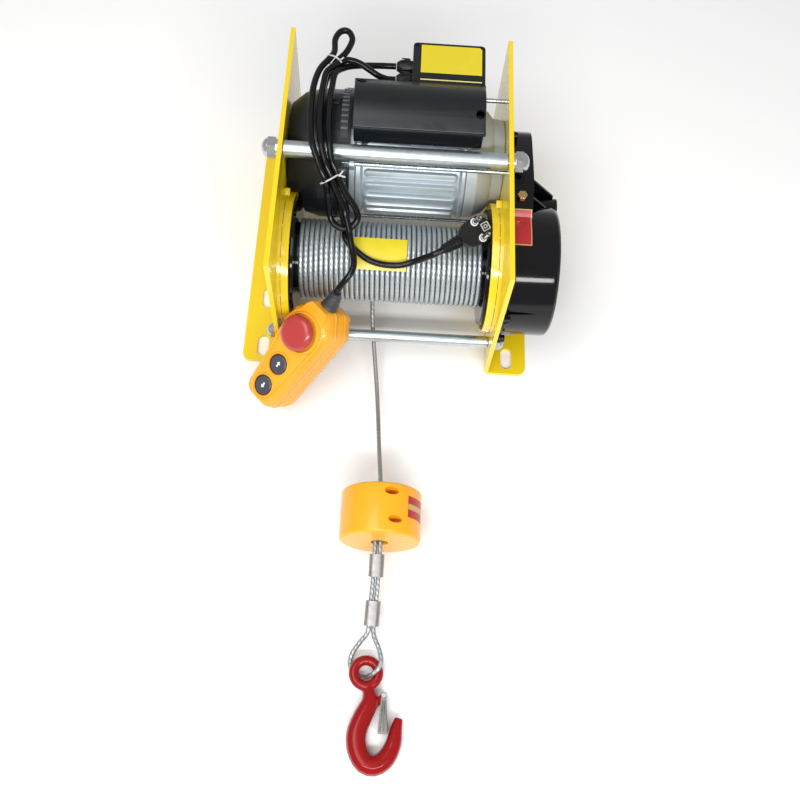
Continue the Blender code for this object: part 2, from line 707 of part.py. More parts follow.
def limit_weight(frame):
    """The round weight that meets the limit stop, lying on its side with the rope through it."""
    back, front = 0.0, WEIGHT_FRONT_Y - WEIGHT_BACK_Y
    outer = [(back, WEIGHT_R - 2), (back - 2, WEIGHT_R), (front + 2, WEIGHT_R), (front, WEIGHT_R - 2)]
    bore = [(front, 9.5), (back - 22, 9.5), (back - 22, 6.5), (back, 6.5)]
    body = turned(outer + bore, 48, "Y")
    for x, y in ((10.5, -10.0), (15.5, -40.0)):
        hole = rod(20.0, WEIGHT_R + 2, 4.0, 12, "Z", (x, y))
        cut(body, hole)
    return piece("limit_weight", body, ORANGE, frame)


def hook_parts(hook, latch):
    """The forged eye hook lying flat, and its sprung latch; coordinates are about each pivot."""
    pivot = Vector(HOOK_PIVOT)
    line = smooth([(x, y, HOOK_Z) for x, y, _ in HOOK_ROUTE], 5.0)
    radii = [interpolated(p) for p in line]
    bar = meshed(tube("bar", [p - pivot for p in line], 10.0, RED_PAINT, None, 3, radii))
    eye_centre = (-1.5 - pivot.x, -357.0 - pivot.y)
    section = []
    for i in range(10):
        angle = 2 * math.pi * i / 10
        section.append((5.5 * math.sin(angle), 13.0 + 5.5 * math.cos(angle)))
    join(bar, turned(section, 28, "Z", eye_centre))
    lug = prism([(8.0, -386.0), (16.0, -376.5), (20.5, -376.5), (20.5, -381.5), (12.0, -391.0)], -3.0, 3.0, "Z")
    shift = Matrix.Translation(-Vector((pivot.x, pivot.y, 0)) * MM)
    lug.matrix_world = shift
    join(bar, lug)
    cut(bar, rod(-9.0, 9.0, 1.5 + GAP, 10, "Z", (LATCH_PIVOT[0] - pivot.x, LATCH_PIVOT[1] - pivot.y)))
    piece("hook", bar, RED_PAINT, hook)

    outline = [(-2.7, 3.0), (2.7, 3.0), (3.2, -8.0), (5.8, -36.3), (-4.6, -37.2), (-3.0, -8.0)]
    blade = prism(outline, -6.0, 6.0, "Z")
    cut(blade, prism([(-5.0, 5.0), (5.0, 5.0), (12.0, -34.6), (-6.0, -35.6)], -4.6, 4.6, "Z"))
    join(blade, rod(-5.5, 5.5, 1.5, 10, "Z"))
    piece("hook_latch", blade, ZINC, latch)


def interpolated(point):
    """The bar radius at a point of the hook's centre line."""
    best = None
    for (ax, ay, ar), (bx, by, br) in zip(HOOK_ROUTE, HOOK_ROUTE[1:]):
        a, b = Vector((ax, ay)), Vector((bx, by))
        t = max(0.0, min(1.0, (point.xy - a).dot(b - a) / (b - a).length_squared))
        gap = (a.lerp(b, t) - point.xy).length
        if best is None or gap < best[0]:
            best = (gap, ar + (br - ar) * t)
    return best[1]


HOOK_PIVOT = (2.0, -362.0, HOOK_Z)  # where the rope eye bears in the hook's eye
LATCH_PIVOT = (18.0, -379.0)


def rope_end(root, weight, hook, latch):
    tube("hoist_rope", smooth(ROPE_ROUTE, 9.0), ROPE / 2, WIRE, root)
    tube("rope_eye", smooth(EYE_ROUTE, 6.0), ROPE / 2, WIRE, root)
    ferrule("upper_ferrule", -236.5, -262.0, root)
    ferrule("lower_ferrule", -284.0, -311.0, root)
    limit_weight(weight)
    hook_parts(hook, latch)


# ---------------------------------------------------------------- pendant

PENDANT_CENTRE = (-94.1, -18.7, 72.2)
PENDANT_ALONG = Vector((0.539, 0.548, 0.640))  # towards its cable
PENDANT_FACE = Vector((-0.486, -0.418, 0.767))  # out of its buttons
PENDANT_DEPTH = 52.0
ESTOP_Y = 27.0
UP_Y = -19.0
DOWN_Y = -50.0


def facing(along, out, axis):
    """A turn that lays the named axis along one direction and Z as near as it can along another."""
    along = along.normalized()
    if axis == "Y":
        across = along.cross(out).normalized()
        rows = (across, along, across.cross(along))
    else:
        across = out.cross(along).normalized()
        rows = (along, across, along.cross(across))
    return Matrix(rows).transposed().to_4x4()


def pendant_outline(inset):
    """The pendant seen from its buttons: narrow at the foot, wide at the stop button, sloping to the cable."""
    points = []
    for x, y, radius in ((10.0, -59.0, 13.0), (19.5, 40.0, 10.0), (11.0, 59.0, 5.0)):
        for side in (-1, 1):
            points += arc((side * x, y), radius - inset, 0, 360, 12)
    return hull(points)


def pendant_shell(start, end, hollow_start, hollow_end):
    shell = prism(pendant_outline(0.0), start, end, "Z")
    return cut(shell, prism(pendant_outline(3.0), hollow_start, hollow_end, "Z"))


def pendant_parts(pendant, estop, up, down):
    half = PENDANT_DEPTH / 2
    front = pendant_shell(3.0 + GAP, half, 0.0, half - 3.0)
    for y, radius in ((ESTOP_Y, 12.0), (UP_Y, 11.0), (DOWN_Y, 11.0)):
        cut(front, rod(half - 5, half + 2, radius + GAP, 24, "Z", (0.0, y)))
    piece("pendant_front_shell", front, ORANGE, pendant)
    back = pendant_shell(-half, 3.0, -half + 5.0, 10.0)
    slope = [(44.0, -half - 1), (80.0, -half - 1), (80.0, 2.0), (71.0, 2.0)]
    cut(back, prism(slope, -40.0, 40.0))
    piece("pendant_back_shell", back, ORANGE, pendant)
    boot = smooth([(0.0, 64.8, 10.0), (0.0, 71.0, 10.4), (0.0, 78.0, 12.0), (0.0, 85.0, 15.5)], 4.0)
    radii = [10.0 - 4.8 * i / (len(boot) - 1) for i in range(len(boot))]
    tube("pendant_boot", boot, 10.0, GREY_RUBBER, pendant, 3, radii)

    mushroom = [(-6.0, 0), (-6.0, 11.7), (6.0, 11.7), (6.5, 20.0), (11.0, 20.0), (14.0, 15.0), (15.0, 0)]
    piece("estop_button", turned(mushroom, 28, "Z"), RED_PLASTIC, estop)
    cap = [(-6.0, 0), (-6.0, 10.7), (0.5, 10.7), (1.5, 9.7), (1.5, 0)]
    piece("up_button", turned(cap, 20, "Z"), GREY_RUBBER, up)
    piece("down_button", turned(cap, 20, "Z"), GREY_RUBBER, down)


# ---------------------------------------------------------------- cords

GLAND_Z = 209.5
MAINS_GLAND_Y = 274.5
PENDANT_GLAND_Y = 255.5

MAINS_LEAD = [  # from its gland to the upper tie of the bundle
    (-4.9, 274.5, 209.5),
    (-11.0, 274.2, 209.7),
    (-21.0, 272.5, 211.2),
    (-36.0, 268.5, 214.5),
    (-49.0, 263.5, 218.5),
    (-60.0, 257.0, 222.0),
]

PENDANT_LEAD = [
    (-4.9, 255.5, 209.5),
    (-10.0, 255.2, 209.8),
    (-16.0, 254.5, 211.2),
    (-24.0, 254.5, 215.0),
    (-34.0, 257.0, 220.5),
    (-44.0, 260.5, 225.0),
    (-54.0, 261.5, 228.0),
    (-61.5, 259.5, 229.0),
]

MAINS_TAIL = [  # from under the lower fold of the bundle, across the wound rope, up to the plug
    (-49.6, 80.0, 154.6),
    (-42.0, 71.0, 153.2),
    (-33.0, 64.0, 150.9),
    (-24.0, 58.8, 149.0),
    (-14.0, 55.8, 147.6),
    (-2.0, 54.4, 147.0),
    (12.0, 54.4, 148.5),
    (27.0, 56.6, 154.4),
    (39.2, 57.0, 164.2),
    (47.2, 56.6, 171.0),
    (54.2, 60.7, 172.2),
]

PENDANT_TAIL = [  # from over the lower fold, down the front of the drum, into the pendant's boot
    (-45.3, 80.5, 167.4),
    (-43.6, 71.0, 165.5),
    (-41.0, 60.5, 163.2),
    (-38.8, 50.5, 161.8),
    (-38.8, 41.0, 160.4),
    (-42.2, 33.0, 157.6),
    (-47.5, 27.6, 152.4),
    (-52.6, 23.9, 145.6),
    (-55.2, 21.8, 139.3),
]

HANK = [  # the tied bundle: middle, half width and half height, from its upper fold to its lower fold
    ((-64.4, 309.0, 226.0), 4.5, 3.5),
    ((-63.4, 302.0, 226.0), 10.0, 3.6),
    ((-64.4, 291.0, 226.0), 12.3, 3.7),
    ((-67.5, 276.0, 225.2), 9.5, 4.5),
    ((-72.5, 262.0, 224.4), 8.6, 6.8),
    ((-78.5, 245.0, 224.6), 11.0, 7.4),
    ((-82.5, 225.0, 225.3), 11.3, 7.4),
    ((-84.5, 200.0, 226.6), 11.3, 7.4),
    ((-83.5, 172.0, 227.2), 11.3, 7.4),
    ((-80.5, 150.0, 226.4), 11.3, 7.4),
    ((-74.5, 132.0, 219.5), 11.0, 7.4),
    ((-67.5, 119.5, 207.5), 10.4, 7.2),
    ((-60.5, 111.0, 193.0), 13.5, 6.0),
    ((-55.0, 104.5, 180.0), 17.5, 5.0),
    ((-52.4, 98.5, 169.5), 19.0, 4.2),
    ((-51.8, 92.5, 163.6), 14.5, 4.0),
    ((-51.6, 88.4, 161.6), 6.0, 3.8),
]


def hank(root):
    """The bundle of folded cord as one solid with an oval section."""
    bm = bmesh.new()
    middles = [Vector(p) for p, _, _ in HANK]
    rings = []
    for i, (_, width, height) in enumerate(HANK):
        tangent = (middles[min(i + 1, len(HANK) - 1)] - middles[max(i - 1, 0)]).normalized()
        side = tangent.cross(Vector((0, 0, 1))).normalized()
        rise = side.cross(tangent)
        ring = []
        for j in range(16):
            angle = 2 * math.pi * j / 16
            a, b = math.cos(angle), math.sin(angle)
            ring.append(bm.verts.new(middles[i] + side * width * a + rise * height * b))
        rings.append(ring)
    for a, b in zip(rings, rings[1:]):
        for j in range(16):
            k = (j + 1) % 16
            bm.faces.new((a[j], a[k], b[k], b[j]))
    bm.faces.new(rings[0])
    bm.faces.new(rings[-1][::-1])
    piece("cord_hank", solid(bm), BLACK_RUBBER, root)


PLUG_FACE = (92.2, 83.0, 181.4)  # midway between the two pins
PLUG_ALONG = Vector((0.804, 0.594, -0.043))  # from the cord into the plug
PLUG_OUT = Vector((0.245, -0.298, 0.923))  # the way the pins point


def plug(root):
    """A side entry two pin earthed plug lying on the drum with its pins up."""
    frame = empty("mains_plug_frame", PLUG_FACE, root, facing(PLUG_ALONG, PLUG_OUT, "X"))
    body = prism(hull(arc((1.0, 0), 15.0, 0, 360, 28) + arc((-8.0, 0), 14.0, 0, 360, 28)), -6.0, 0.0, "Z")
    join(body, prism(hull(arc((-3.0, 0), 10.5, 0, 360, 20) + arc((-16.0, 0), 7.0, 0, 360, 16)), -19.0, -5.0, "Z"))
    neck = [(-42.0, 0), (-42.0, 4.4), (-20.0, 6.3), (-8.0, 6.3), (-8.0, 0)]
    join(body, turned(neck, 16, centre=(0.0, -12.0)))
    for y in (-9.5, 9.5):
        join(body, rod(-3.0, 19.0, 2.4, 12, "Z", (0.0, y)))
    cut(body, rod(-4.0, 1.0, 2.4, 12, "Z", (9.0, 0.0)))
    piece("mains_plug", body, BLACK_RUBBER, frame)


def cords(root):
    tube("mains_cord", smooth(MAINS_LEAD, 8.0), CORD / 2, BLACK_RUBBER, root)
    tube("mains_cord_tail", smooth(MAINS_TAIL, 8.0), CORD / 2, BLACK_RUBBER, root)
    tube("pendant_cord", smooth(PENDANT_LEAD, 7.0), CORD / 2, BLACK_RUBBER, root)
    tube("pendant_cord_tail", smooth(PENDANT_TAIL, 8.0), CORD / 2, BLACK_RUBBER, root)
    hank(root)
    plug(root)


def main():
    clear_scene()
    root = empty("hoist", -CENTRE, None)
    drum = empty("drum_axis", (0.0, *DRUM), root)
    motor = empty("motor_axis", (0.0, *MOTOR), root)
    idler = empty("idler_axis", (0.0, *idler_axis()), root)
    weight = empty("weight_slide", (WEIGHT_AXIS[0], WEIGHT_BACK_Y, WEIGHT_AXIS[1]), root)
    hook = empty("hook_pivot", HOOK_PIVOT, root)
    latch = empty("latch_pivot", Vector((*LATCH_PIVOT, HOOK_Z)) - Vector(HOOK_PIVOT), hook)
    pendant = empty("pendant", PENDANT_CENTRE, root, facing(PENDANT_ALONG, PENDANT_FACE, "Y"))
    face = PENDANT_DEPTH / 2
    estop = empty("estop_axis", (0.0, ESTOP_Y, face), pendant)
    up = empty("up_axis", (0.0, UP_Y, face), pendant)
    down = empty("down_axis", (0.0, DOWN_Y, face), pendant)

    frame_parts(root)
    motor_housing(root)
    motor_shields(root)
    motor_studs(root)
    fan_cover(root)
    motor_inside(root, motor)
    capacitor_box(root)
    switch_box(root)
    cable_gland("mains_cable_gland", MAINS_GLAND_Y, root)
    cable_gland("pendant_cable_gland", PENDANT_GLAND_Y, root)
    gearbox(root, drum, idler)
    drum_parts(root, drum)
    rope_end(root, weight, hook, latch)
    pendant_parts(pendant, estop, up, down)
    cords(root)


main()
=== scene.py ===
"""Looks for the electric wire rope hoist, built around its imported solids.

Lengths are in millimetres from the middle of the frame's front edge, on the floor, until at() turns them
into the scene's metres. X runs along the drum towards the gearbox, Y from the hook to the back, +Z up.
"""

import json
import math

import bmesh
import bpy
from mathutils import Matrix, Vector

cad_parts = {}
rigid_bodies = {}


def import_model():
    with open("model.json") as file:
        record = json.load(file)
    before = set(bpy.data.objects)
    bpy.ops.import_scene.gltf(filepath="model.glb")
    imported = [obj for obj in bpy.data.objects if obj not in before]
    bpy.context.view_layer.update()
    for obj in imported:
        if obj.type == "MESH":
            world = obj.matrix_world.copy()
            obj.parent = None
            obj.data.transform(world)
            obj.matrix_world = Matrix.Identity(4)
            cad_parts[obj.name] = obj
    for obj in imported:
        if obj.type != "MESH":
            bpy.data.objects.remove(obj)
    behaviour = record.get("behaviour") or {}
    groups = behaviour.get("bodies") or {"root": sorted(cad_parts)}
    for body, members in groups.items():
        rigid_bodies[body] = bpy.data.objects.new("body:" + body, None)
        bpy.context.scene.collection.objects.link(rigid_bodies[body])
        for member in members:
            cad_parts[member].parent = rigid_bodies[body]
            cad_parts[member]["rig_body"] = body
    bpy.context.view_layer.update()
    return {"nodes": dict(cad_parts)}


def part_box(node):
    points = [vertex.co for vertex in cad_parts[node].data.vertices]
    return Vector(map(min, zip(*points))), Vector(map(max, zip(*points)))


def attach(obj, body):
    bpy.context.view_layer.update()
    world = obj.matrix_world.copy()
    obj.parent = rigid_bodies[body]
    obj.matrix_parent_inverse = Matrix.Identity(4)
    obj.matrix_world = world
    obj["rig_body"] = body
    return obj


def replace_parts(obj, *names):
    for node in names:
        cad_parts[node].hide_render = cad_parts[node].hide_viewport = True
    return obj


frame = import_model()

MM = 0.001
WELD = 1e-5  # points closer than this are one point
TINY = 1e-6
CURVE_STEPS = 12  # points read between two given ones before they are spaced evenly
LEFT_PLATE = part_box("left_side_plate")[0]
RIGHT_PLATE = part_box("right_side_plate")[1]
ORIGIN = Vector(((LEFT_PLATE.x + RIGHT_PLATE.x) / 2, LEFT_PLATE.y, LEFT_PLATE.z))


def corners(node):
    """The lowest and highest corner of a node, in millimetres."""
    low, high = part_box(node)
    return (low - ORIGIN) / MM, (high - ORIGIN) / MM


def middle(node):
    low, high = corners(node)
    return (low + high) / 2


def across(point):
    """The Y and Z of a point, which place an axis along X."""
    return point.y, point.z


# Axes along X, as (Y, Z)
DRUM = across(middle("rope_drum"))
MOTOR = across(middle("rotor_shaft"))
IDLER = across(middle("idler_gear"))
UPPER_TIE = across(middle("upper_tie_bar"))

# Rope
ROPE = 5.0
TURNS = 36
WOUND = 5.3  # thickness of a wound turn, which is pressed against its neighbours
WIND_LOW, WIND_HIGH = corners("rope_winding")
WIND_R = (WIND_HIGH.z - WIND_LOW.z) / 2 - ROPE / 2  # drum axis to the middle of the rope

# Motor and gearbox
BODY_R = 64.0  # over the ribs
COWL_R = 71.0
RIBS = 26
GUARD_R = 73.0
GUARD_X = 108.0  # free edge of the band around each flange
LIP_TURN = -38.5  # from straight above the drum, towards the back
COVER_X = 183.0  # end of the round cover
COVER_R = 73.0
TRAIN_X = 151.0  # end of the gear case beside it
TRAIN_R = 60.0
BOLT_X = 125.3  # face under the cover's screws

# Cords
CORD = 7.0
STRAND_INSET = 3.6  # from the outside of the cord bundle to the middle of its outer strands

# Pendant, in its own frame: Y towards its cable, Z out of its face
PENDANT_CENTRE = (-94.1, -18.7, 72.2)
PENDANT_ALONG = Vector((0.539, 0.548, 0.640))
PENDANT_FACE = Vector((-0.486, -0.418, 0.767))
PENDANT_HALF = 26.0  # half of its thickness
ESTOP_Y = 27.0
UP_Y = -19.0
DOWN_Y = -50.0

# Plug, in its own frame: X away from its cable, Z along its pins
PLUG_FACE = (92.2, 83.0, 181.4)
PLUG_ALONG = Vector((0.804, 0.594, -0.043))
PLUG_OUT = Vector((0.245, -0.298, 0.923))
PIN_Y = 9.5

# Weight and hook
WEIGHT_R = 43.5
WEIGHT_X = 5.0
HOOK_Z = 11.0  # middle of the forging
LATCH_PIVOT = (18.0, -379.0)


# ---- curves and placing


def at(point):
    """A point in the scene's metres."""
    return ORIGIN + Vector(point) * MM


def between(a, b, c, d, share):
    """The point that share of the way from b to c, on the Catmull-Rom curve through all four."""
    slope = (c - a) * share
    square = (2 * a - 5 * b + 4 * c - d) * share * share
    cube = (3 * b - a - 3 * c + d) * share**3
    return 0.5 * (2 * b + slope + square + cube)


def smooth(points, step):
    """A Catmull-Rom curve through the points, read at about even steps."""
    points = [Vector(p) for p in points]
    padded = [2 * points[0] - points[1], *points, 2 * points[-1] - points[-2]]
    dense = []
    for a, b, c, d in zip(padded, padded[1:], padded[2:], padded[3:]):
        dense += [between(a, b, c, d, i / CURVE_STEPS) for i in range(CURVE_STEPS)]
    dense.append(points[-1])
    lengths = [0.0]
    for a, b in zip(dense, dense[1:]):
        lengths.append(lengths[-1] + (b - a).length)
    count = max(2, round(lengths[-1] / step))
    even = []
    k = 0
    for i in range(count + 1):
        target = lengths[-1] * i / count
        while k < len(lengths) - 2 and lengths[k + 1] < target:
            k += 1
        span = lengths[k + 1] - lengths[k]
        even.append(dense[k].lerp(dense[k + 1], (target - lengths[k]) / span if span else 0.0))
    return even


def arc(centre, radius, start, end, steps):
    """Points on an arc in degrees, as pairs."""
    points = []
    for i in range(steps + 1):
        angle = math.radians(start + (end - start) * i / steps)
        points.append((centre[0] + radius * math.cos(angle), centre[1] + radius * math.sin(angle)))
    return points


def hull(points):
    """The outline around the points, anticlockwise."""
    points = sorted({(round(x, 6), round(y, 6)) for x, y in points})

    def half(run):
        chain = []
        for p in run:
            while len(chain) > 1:
                (ax, ay), (bx, by) = chain[-2], chain[-1]
                if (bx - ax) * (p[1] - ay) - (by - ay) * (p[0] - ax) > 1e-9:
                    break
                chain.pop()
            chain.append(p)
        return chain[:-1]

    return half(points) + half(points[::-1])


def facing(along, out, axis):
    """A turn that lays the named axis along one direction and Z as near as it can along another."""
    along = along.normalized()
    if axis == "Y":
        side = along.cross(out).normalized()
        rows = (side, along, side.cross(along))
    else:
        side = out.cross(along).normalized()
        rows = (along, side, along.cross(side))
    return Matrix(rows).transposed().to_4x4()


PENDANT = Matrix.Translation(PENDANT_CENTRE) @ facing(PENDANT_ALONG, PENDANT_FACE, "Y")
PLUG = Matrix.Translation(PLUG_FACE) @ facing(PLUG_ALONG, PLUG_OUT, "X")


# ---- finishes


MIX_FACTOR, MIX_A, MIX_B, MIX_RESULT = 0, 6, 7, 2  # the colour sockets of a mix node
PER_METRE = 1000.0  # a texture's scale for features of one millimetre


class Finish:
    """A Principled material whose texture nodes all read the piece's own coordinates."""

    def __init__(self, name, colour, roughness, metallic=0.0, coat=0.0, specular=0.5):
        self.mat = bpy.data.materials.new(name)
        self.mat.use_nodes = True
        self.nodes = self.mat.node_tree.nodes
        self.links = self.mat.node_tree.links
        self.shader = self.nodes["Principled BSDF"]
        self.colour = (*colour, 1.0)
        self.fill(self.shader, Base_Color=self.colour, Roughness=roughness, Metallic=metallic)
        self.fill(self.shader, Coat_Weight=coat, Coat_Roughness=0.06, Specular_IOR_Level=specular)
        self.place = self.nodes.new("ShaderNodeTexCoord").outputs["Object"]

    def fill(self, node, **values):
        """Sets inputs by name, where an underscore stands for a space."""
        for key, value in values.items():
            node.inputs[key.replace("_", " ")].default_value = value
        return node

    def stretched(self, scale):
        node = self.fill(self.nodes.new("ShaderNodeMapping"), Scale=scale)
        self.links.new(self.place, node.inputs["Vector"])
        return node.outputs["Vector"]

    def noise(self, size, detail=4.0, place=None):
        """Noise from 0 to 1 whose features are about size millimetres across."""
        node = self.nodes.new("ShaderNodeTexNoise")
        self.fill(node, Scale=PER_METRE / size, Detail=detail, Roughness=0.55)
        self.links.new(place or self.place, node.inputs["Vector"])
        return node.outputs["Fac"]

    def cells(self, size):
        """Crystal cells, each with its own grey."""
        node = self.fill(self.nodes.new("ShaderNodeTexVoronoi"), Scale=PER_METRE / size)
        self.links.new(self.place, node.inputs["Vector"])
        grey = self.nodes.new("ShaderNodeSeparateColor")
        self.links.new(node.outputs["Color"], grey.inputs["Color"])
        return grey.outputs["Red"]

    def span(self, value, low, high, to_low, to_high):
        """The value's range from low to high, mapped to another one."""
        node = self.nodes.new("ShaderNodeMapRange")
        self.fill(node, From_Min=low, From_Max=high, To_Min=to_low, To_Max=to_high)
        self.links.new(value, node.inputs["Value"])
        return node.outputs["Result"]

    def tint(self, factor, colour):
        """Lays a second colour over what the base colour is so far."""
        node = self.nodes.new("ShaderNodeMix")
        node.data_type = "RGBA"
        base = self.shader.inputs["Base Color"]
        if base.is_linked:
            self.links.new(base.links[0].from_socket, node.inputs[MIX_A])
        else:
            node.inputs[MIX_A].default_value = self.colour
        node.inputs[MIX_B].default_value = (*colour, 1.0)
        self.links.new(factor, node.inputs[MIX_FACTOR])
        self.links.new(node.outputs[MIX_RESULT], base)

    def cloud(self, size, detail, low, high, most, shade):
        """Lets noise lay a lighter or darker shade of the main colour over it, up to the most given."""
        drift = self.span(self.noise(size, detail), low, high, 0.0, most)
        self.tint(drift, [shade * c for c in self.colour[:3]])

    def rough(self, value, low, high):
        self.links.new(self.span(value, 0.3, 0.7, low, high), self.shader.inputs["Roughness"])

    def bump(self, height, depth, strength):
        """Relief of that depth in millimetres."""
        node = self.fill(self.nodes.new("ShaderNodeBump"), Distance=depth * MM, Strength=strength)
        self.links.new(height, node.inputs["Height"])
        self.links.new(node.outputs["Normal"], self.shader.inputs["Normal"])


def paint(name, colour, roughness, coat, chipped, specular=0.5):
    """Sprayed paint: faint orange peel, slow colour drift and a few small chips in a second colour."""
    look = Finish(name, colour, roughness, 0.0, coat, specular)
    look.cloud(60.0, 2.0, 0.4, 0.75, 0.15, 0.85)
    look.tint(look.span(look.noise(5.0, 6.0), 0.74, 0.77, 0.0, 0.5), chipped)
    look.rough(look.noise(18.0, 5.0), roughness * 0.9, roughness * 1.15)
    look.bump(look.noise(4.0, 2.0), 0.012, 0.4)
    return look.mat


def metal(name, colour, roughness, brushed=(1, 1, 1), mottled=0.0):
    """Bare or plated metal, with fine scratches along one direction and cloudy oxide."""
    look = Finish(name, colour, roughness, 1.0)
    look.cloud(6.0, 5.0, 0.35, 0.75, 0.25, 0.65)
    if mottled:
        look.tint(look.span(look.cells(3.2), 0.2, 0.9, 0.0, mottled), [0.5 * c for c in colour])
    look.rough(look.noise(6.0, 5.0), roughness * 0.8, roughness * 1.35)
    look.bump(look.noise(1.2, 3.0, look.stretched(brushed)), 0.006, 0.35)
    return look.mat


def moulded(name, colour, roughness, grain=0.9, depth=0.03, specular=0.5, coat=0.0):
    """Moulded plastic or rubber with a fine grain and a pale, dusty drift."""
    look = Finish(name, colour, roughness, 0.0, coat, specular)
    dusty = [min(1.0, 1.25 * c + 0.003) for c in colour]
    look.tint(look.span(look.noise(30.0, 3.0), 0.4, 0.8, 0.0, 0.3), dusty)
    look.rough(look.noise(12.0, 4.0), roughness * 0.85, roughness * 1.25)
    look.bump(look.noise(grain, 2.0), depth, 0.6)
    return look.mat


def casting(name, colour, roughness, metallic):
    """Bare cast aluminium: satin and slightly pitted, with cloudy oxide."""
    look = Finish(name, colour, roughness, metallic)
    look.cloud(40.0, 4.0, 0.35, 0.7, 0.4, 0.75)
    look.rough(look.noise(8.0, 5.0), roughness * 0.85, roughness * 1.2)
    look.bump(look.noise(1.0, 3.0), 0.008, 0.5)
    return look.mat


def wire(name, colour, roughness):
    """Galvanised wire, slightly greasy, with painted shade in the valleys between strands that leaves the
    strand tops brighter.
    """
    look = Finish(name, colour, roughness, 0.85)
    pointiness = look.nodes.new("ShaderNodeNewGeometry").outputs["Pointiness"]
    # painted shade: the hollows between strands, found from pointiness, are darkened
    look.tint(look.span(pointiness, 0.40, 0.48, 0.35, 0.0), [0.25 * c for c in colour])
    look.cloud(14.0, 4.0, 0.45, 0.75, 0.4, 0.7)
    look.rough(look.noise(5.0, 4.0), roughness * 0.8, roughness * 1.4)
    look.bump(look.noise(0.8, 2.0), 0.015, 0.4)
    return look.mat


YELLOW = paint("yellow_paint", (0.82, 0.60, 0.010), 0.22, 0.35, (0.66, 0.45, 0.02))
BLACK_PAINT = paint("black_gloss_paint", (0.003, 0.003, 0.004), 0.10, 0.2, (0.012, 0.012, 0.012), 0.2)
SATIN_BLACK = paint("satin_black_paint", (0.007, 0.009, 0.011), 0.34, 0.0, (0.03, 0.03, 0.03), 0.35)
ORANGE_PAINT = paint("orange_weight_paint", (0.86, 0.38, 0.010), 0.28, 0.15, (0.80, 0.42, 0.05), 0.4)
RED_PAINT = paint("red_hook_paint", (0.26, 0.002, 0.003), 0.20, 0.15, (0.34, 0.02, 0.02), 0.25)
CASTING = casting("cast_aluminium", (0.50, 0.57, 0.61), 0.42, 0.6)
SHELL_METAL = casting("machined_aluminium", (0.47, 0.51, 0.53), 0.42, 0.25)
BAR_ZINC = metal("galvanised_bar", (0.58, 0.65, 0.67), 0.33, (0.08, 1, 1), 0.12)
NUT_ZINC = metal("bright_zinc", (0.62, 0.63, 0.63), 0.24, (1, 1, 1), 0.25)
STUD_ZINC = metal("stud_zinc", (0.55, 0.60, 0.62), 0.25, (0.05, 1, 1))
LATCH_ZINC = metal("latch_zinc", (0.30, 0.29, 0.27), 0.32, (1, 0.1, 1), 0.2)
STEEL = metal("machined_steel", (0.46, 0.47, 0.48), 0.30, (0.1, 1, 1))
BLACK_SCREW = metal("blackened_screw", (0.03, 0.03, 0.035), 0.35)
FERRULE = metal("pressed_aluminium", (0.36, 0.345, 0.34), 0.42, (1, 0.15, 1), 0.2)
BRASS = metal("brass", (0.66, 0.44, 0.20), 0.20)
PIN_METAL = metal("nickel_pins", (0.78, 0.79, 0.80), 0.16)
COPPER = metal("enamelled_copper", (0.62, 0.26, 0.11), 0.35, (1, 1, 1), 0.3)
CORE = metal("core_steel", (0.16, 0.16, 0.17), 0.5, (1, 1, 1), 0.4)
CAN = metal("capacitor_can", (0.72, 0.73, 0.74), 0.28)
WIRE = wire("galvanised_wire", (0.56, 0.61, 0.64), 0.40)
DARK_WIRE = wire("weathered_wire", (0.36, 0.38, 0.38), 0.40)
BOX_PLASTIC = moulded("black_box_plastic", (0.004, 0.005, 0.007), 0.31, 0.8, 0.02, 0.45)
BLACK_RUBBER = moulded("cord_sheath", (0.003, 0.003, 0.004), 0.16, 8.0, 0.002, 0.30)
PLUG_RUBBER = moulded("plug_rubber", (0.006, 0.006, 0.008), 0.38, 0.7, 0.04, 0.35)
GLAND = moulded("gland_rubber", (0.005, 0.005, 0.006), 0.42, 0.8, 0.04, 0.35)
GREY_BOOT = moulded("grey_boot", (0.035, 0.035, 0.042), 0.45, 0.8, 0.04)
GREY_CAP = moulded("grey_button_rubber", (0.055, 0.052, 0.066), 0.32, 0.8, 0.02)
EARTH = moulded("earth_contact_grey", (0.50, 0.51, 0.52), 0.4)
BEZEL = moulded("black_bezel", (0.008, 0.008, 0.009), 0.35, 0.8, 0.02)
ORANGE_SHELL = moulded("orange_shell", (0.84, 0.36, 0.020), 0.28, 0.8, 0.015, 0.45, 0.1)
RED_SHELL = moulded("red_button_plastic", (0.40, 0.035, 0.035), 0.24, 0.8, 0.01, 0.5, 0.2)
# mid grey on the black plastic fins is painted highlight, where light catches their edges
LOUVRE_HIGHLIGHT = moulded("louvre_painted_highlight", (0.10, 0.115, 0.125), 0.4)
FAN_PLASTIC = moulded("fan_plastic", (0.03, 0.03, 0.03), 0.5)
LINING = moulded("brake_lining", (0.14, 0.11, 0.09), 0.8, 0.6, 0.1)
WHITE_TIE = moulded("white_tie", (0.52, 0.53, 0.55), 0.35)
# white for printed marks and arrows, also used for the painted highlight round the plug's pins
WHITE_MARK_AND_HIGHLIGHT = moulded("white_mark_and_highlight", (0.70, 0.72, 0.72), 0.5)
LABEL_YELLOW = moulded("yellow_label", (0.68, 0.55, 0.015), 0.32, 2.0, 0.01)
LABEL_PALE = moulded("pale_line", (0.74, 0.66, 0.22), 0.35, 2.0, 0.01)
LABEL_RED = moulded("red_label", (0.42, 0.015, 0.02), 0.3, 2.0, 0.01)
LABEL_GOLD = moulded("gold_line", (0.55, 0.34, 0.12), 0.35, 2.0, 0.01)
# dark shaded yellow for the thin strips of painted shadow in the guard seams
SEAM_SHADOW = moulded("seam_shadow", (0.10, 0.065, 0.004), 0.7)


# ---- mesh helpers


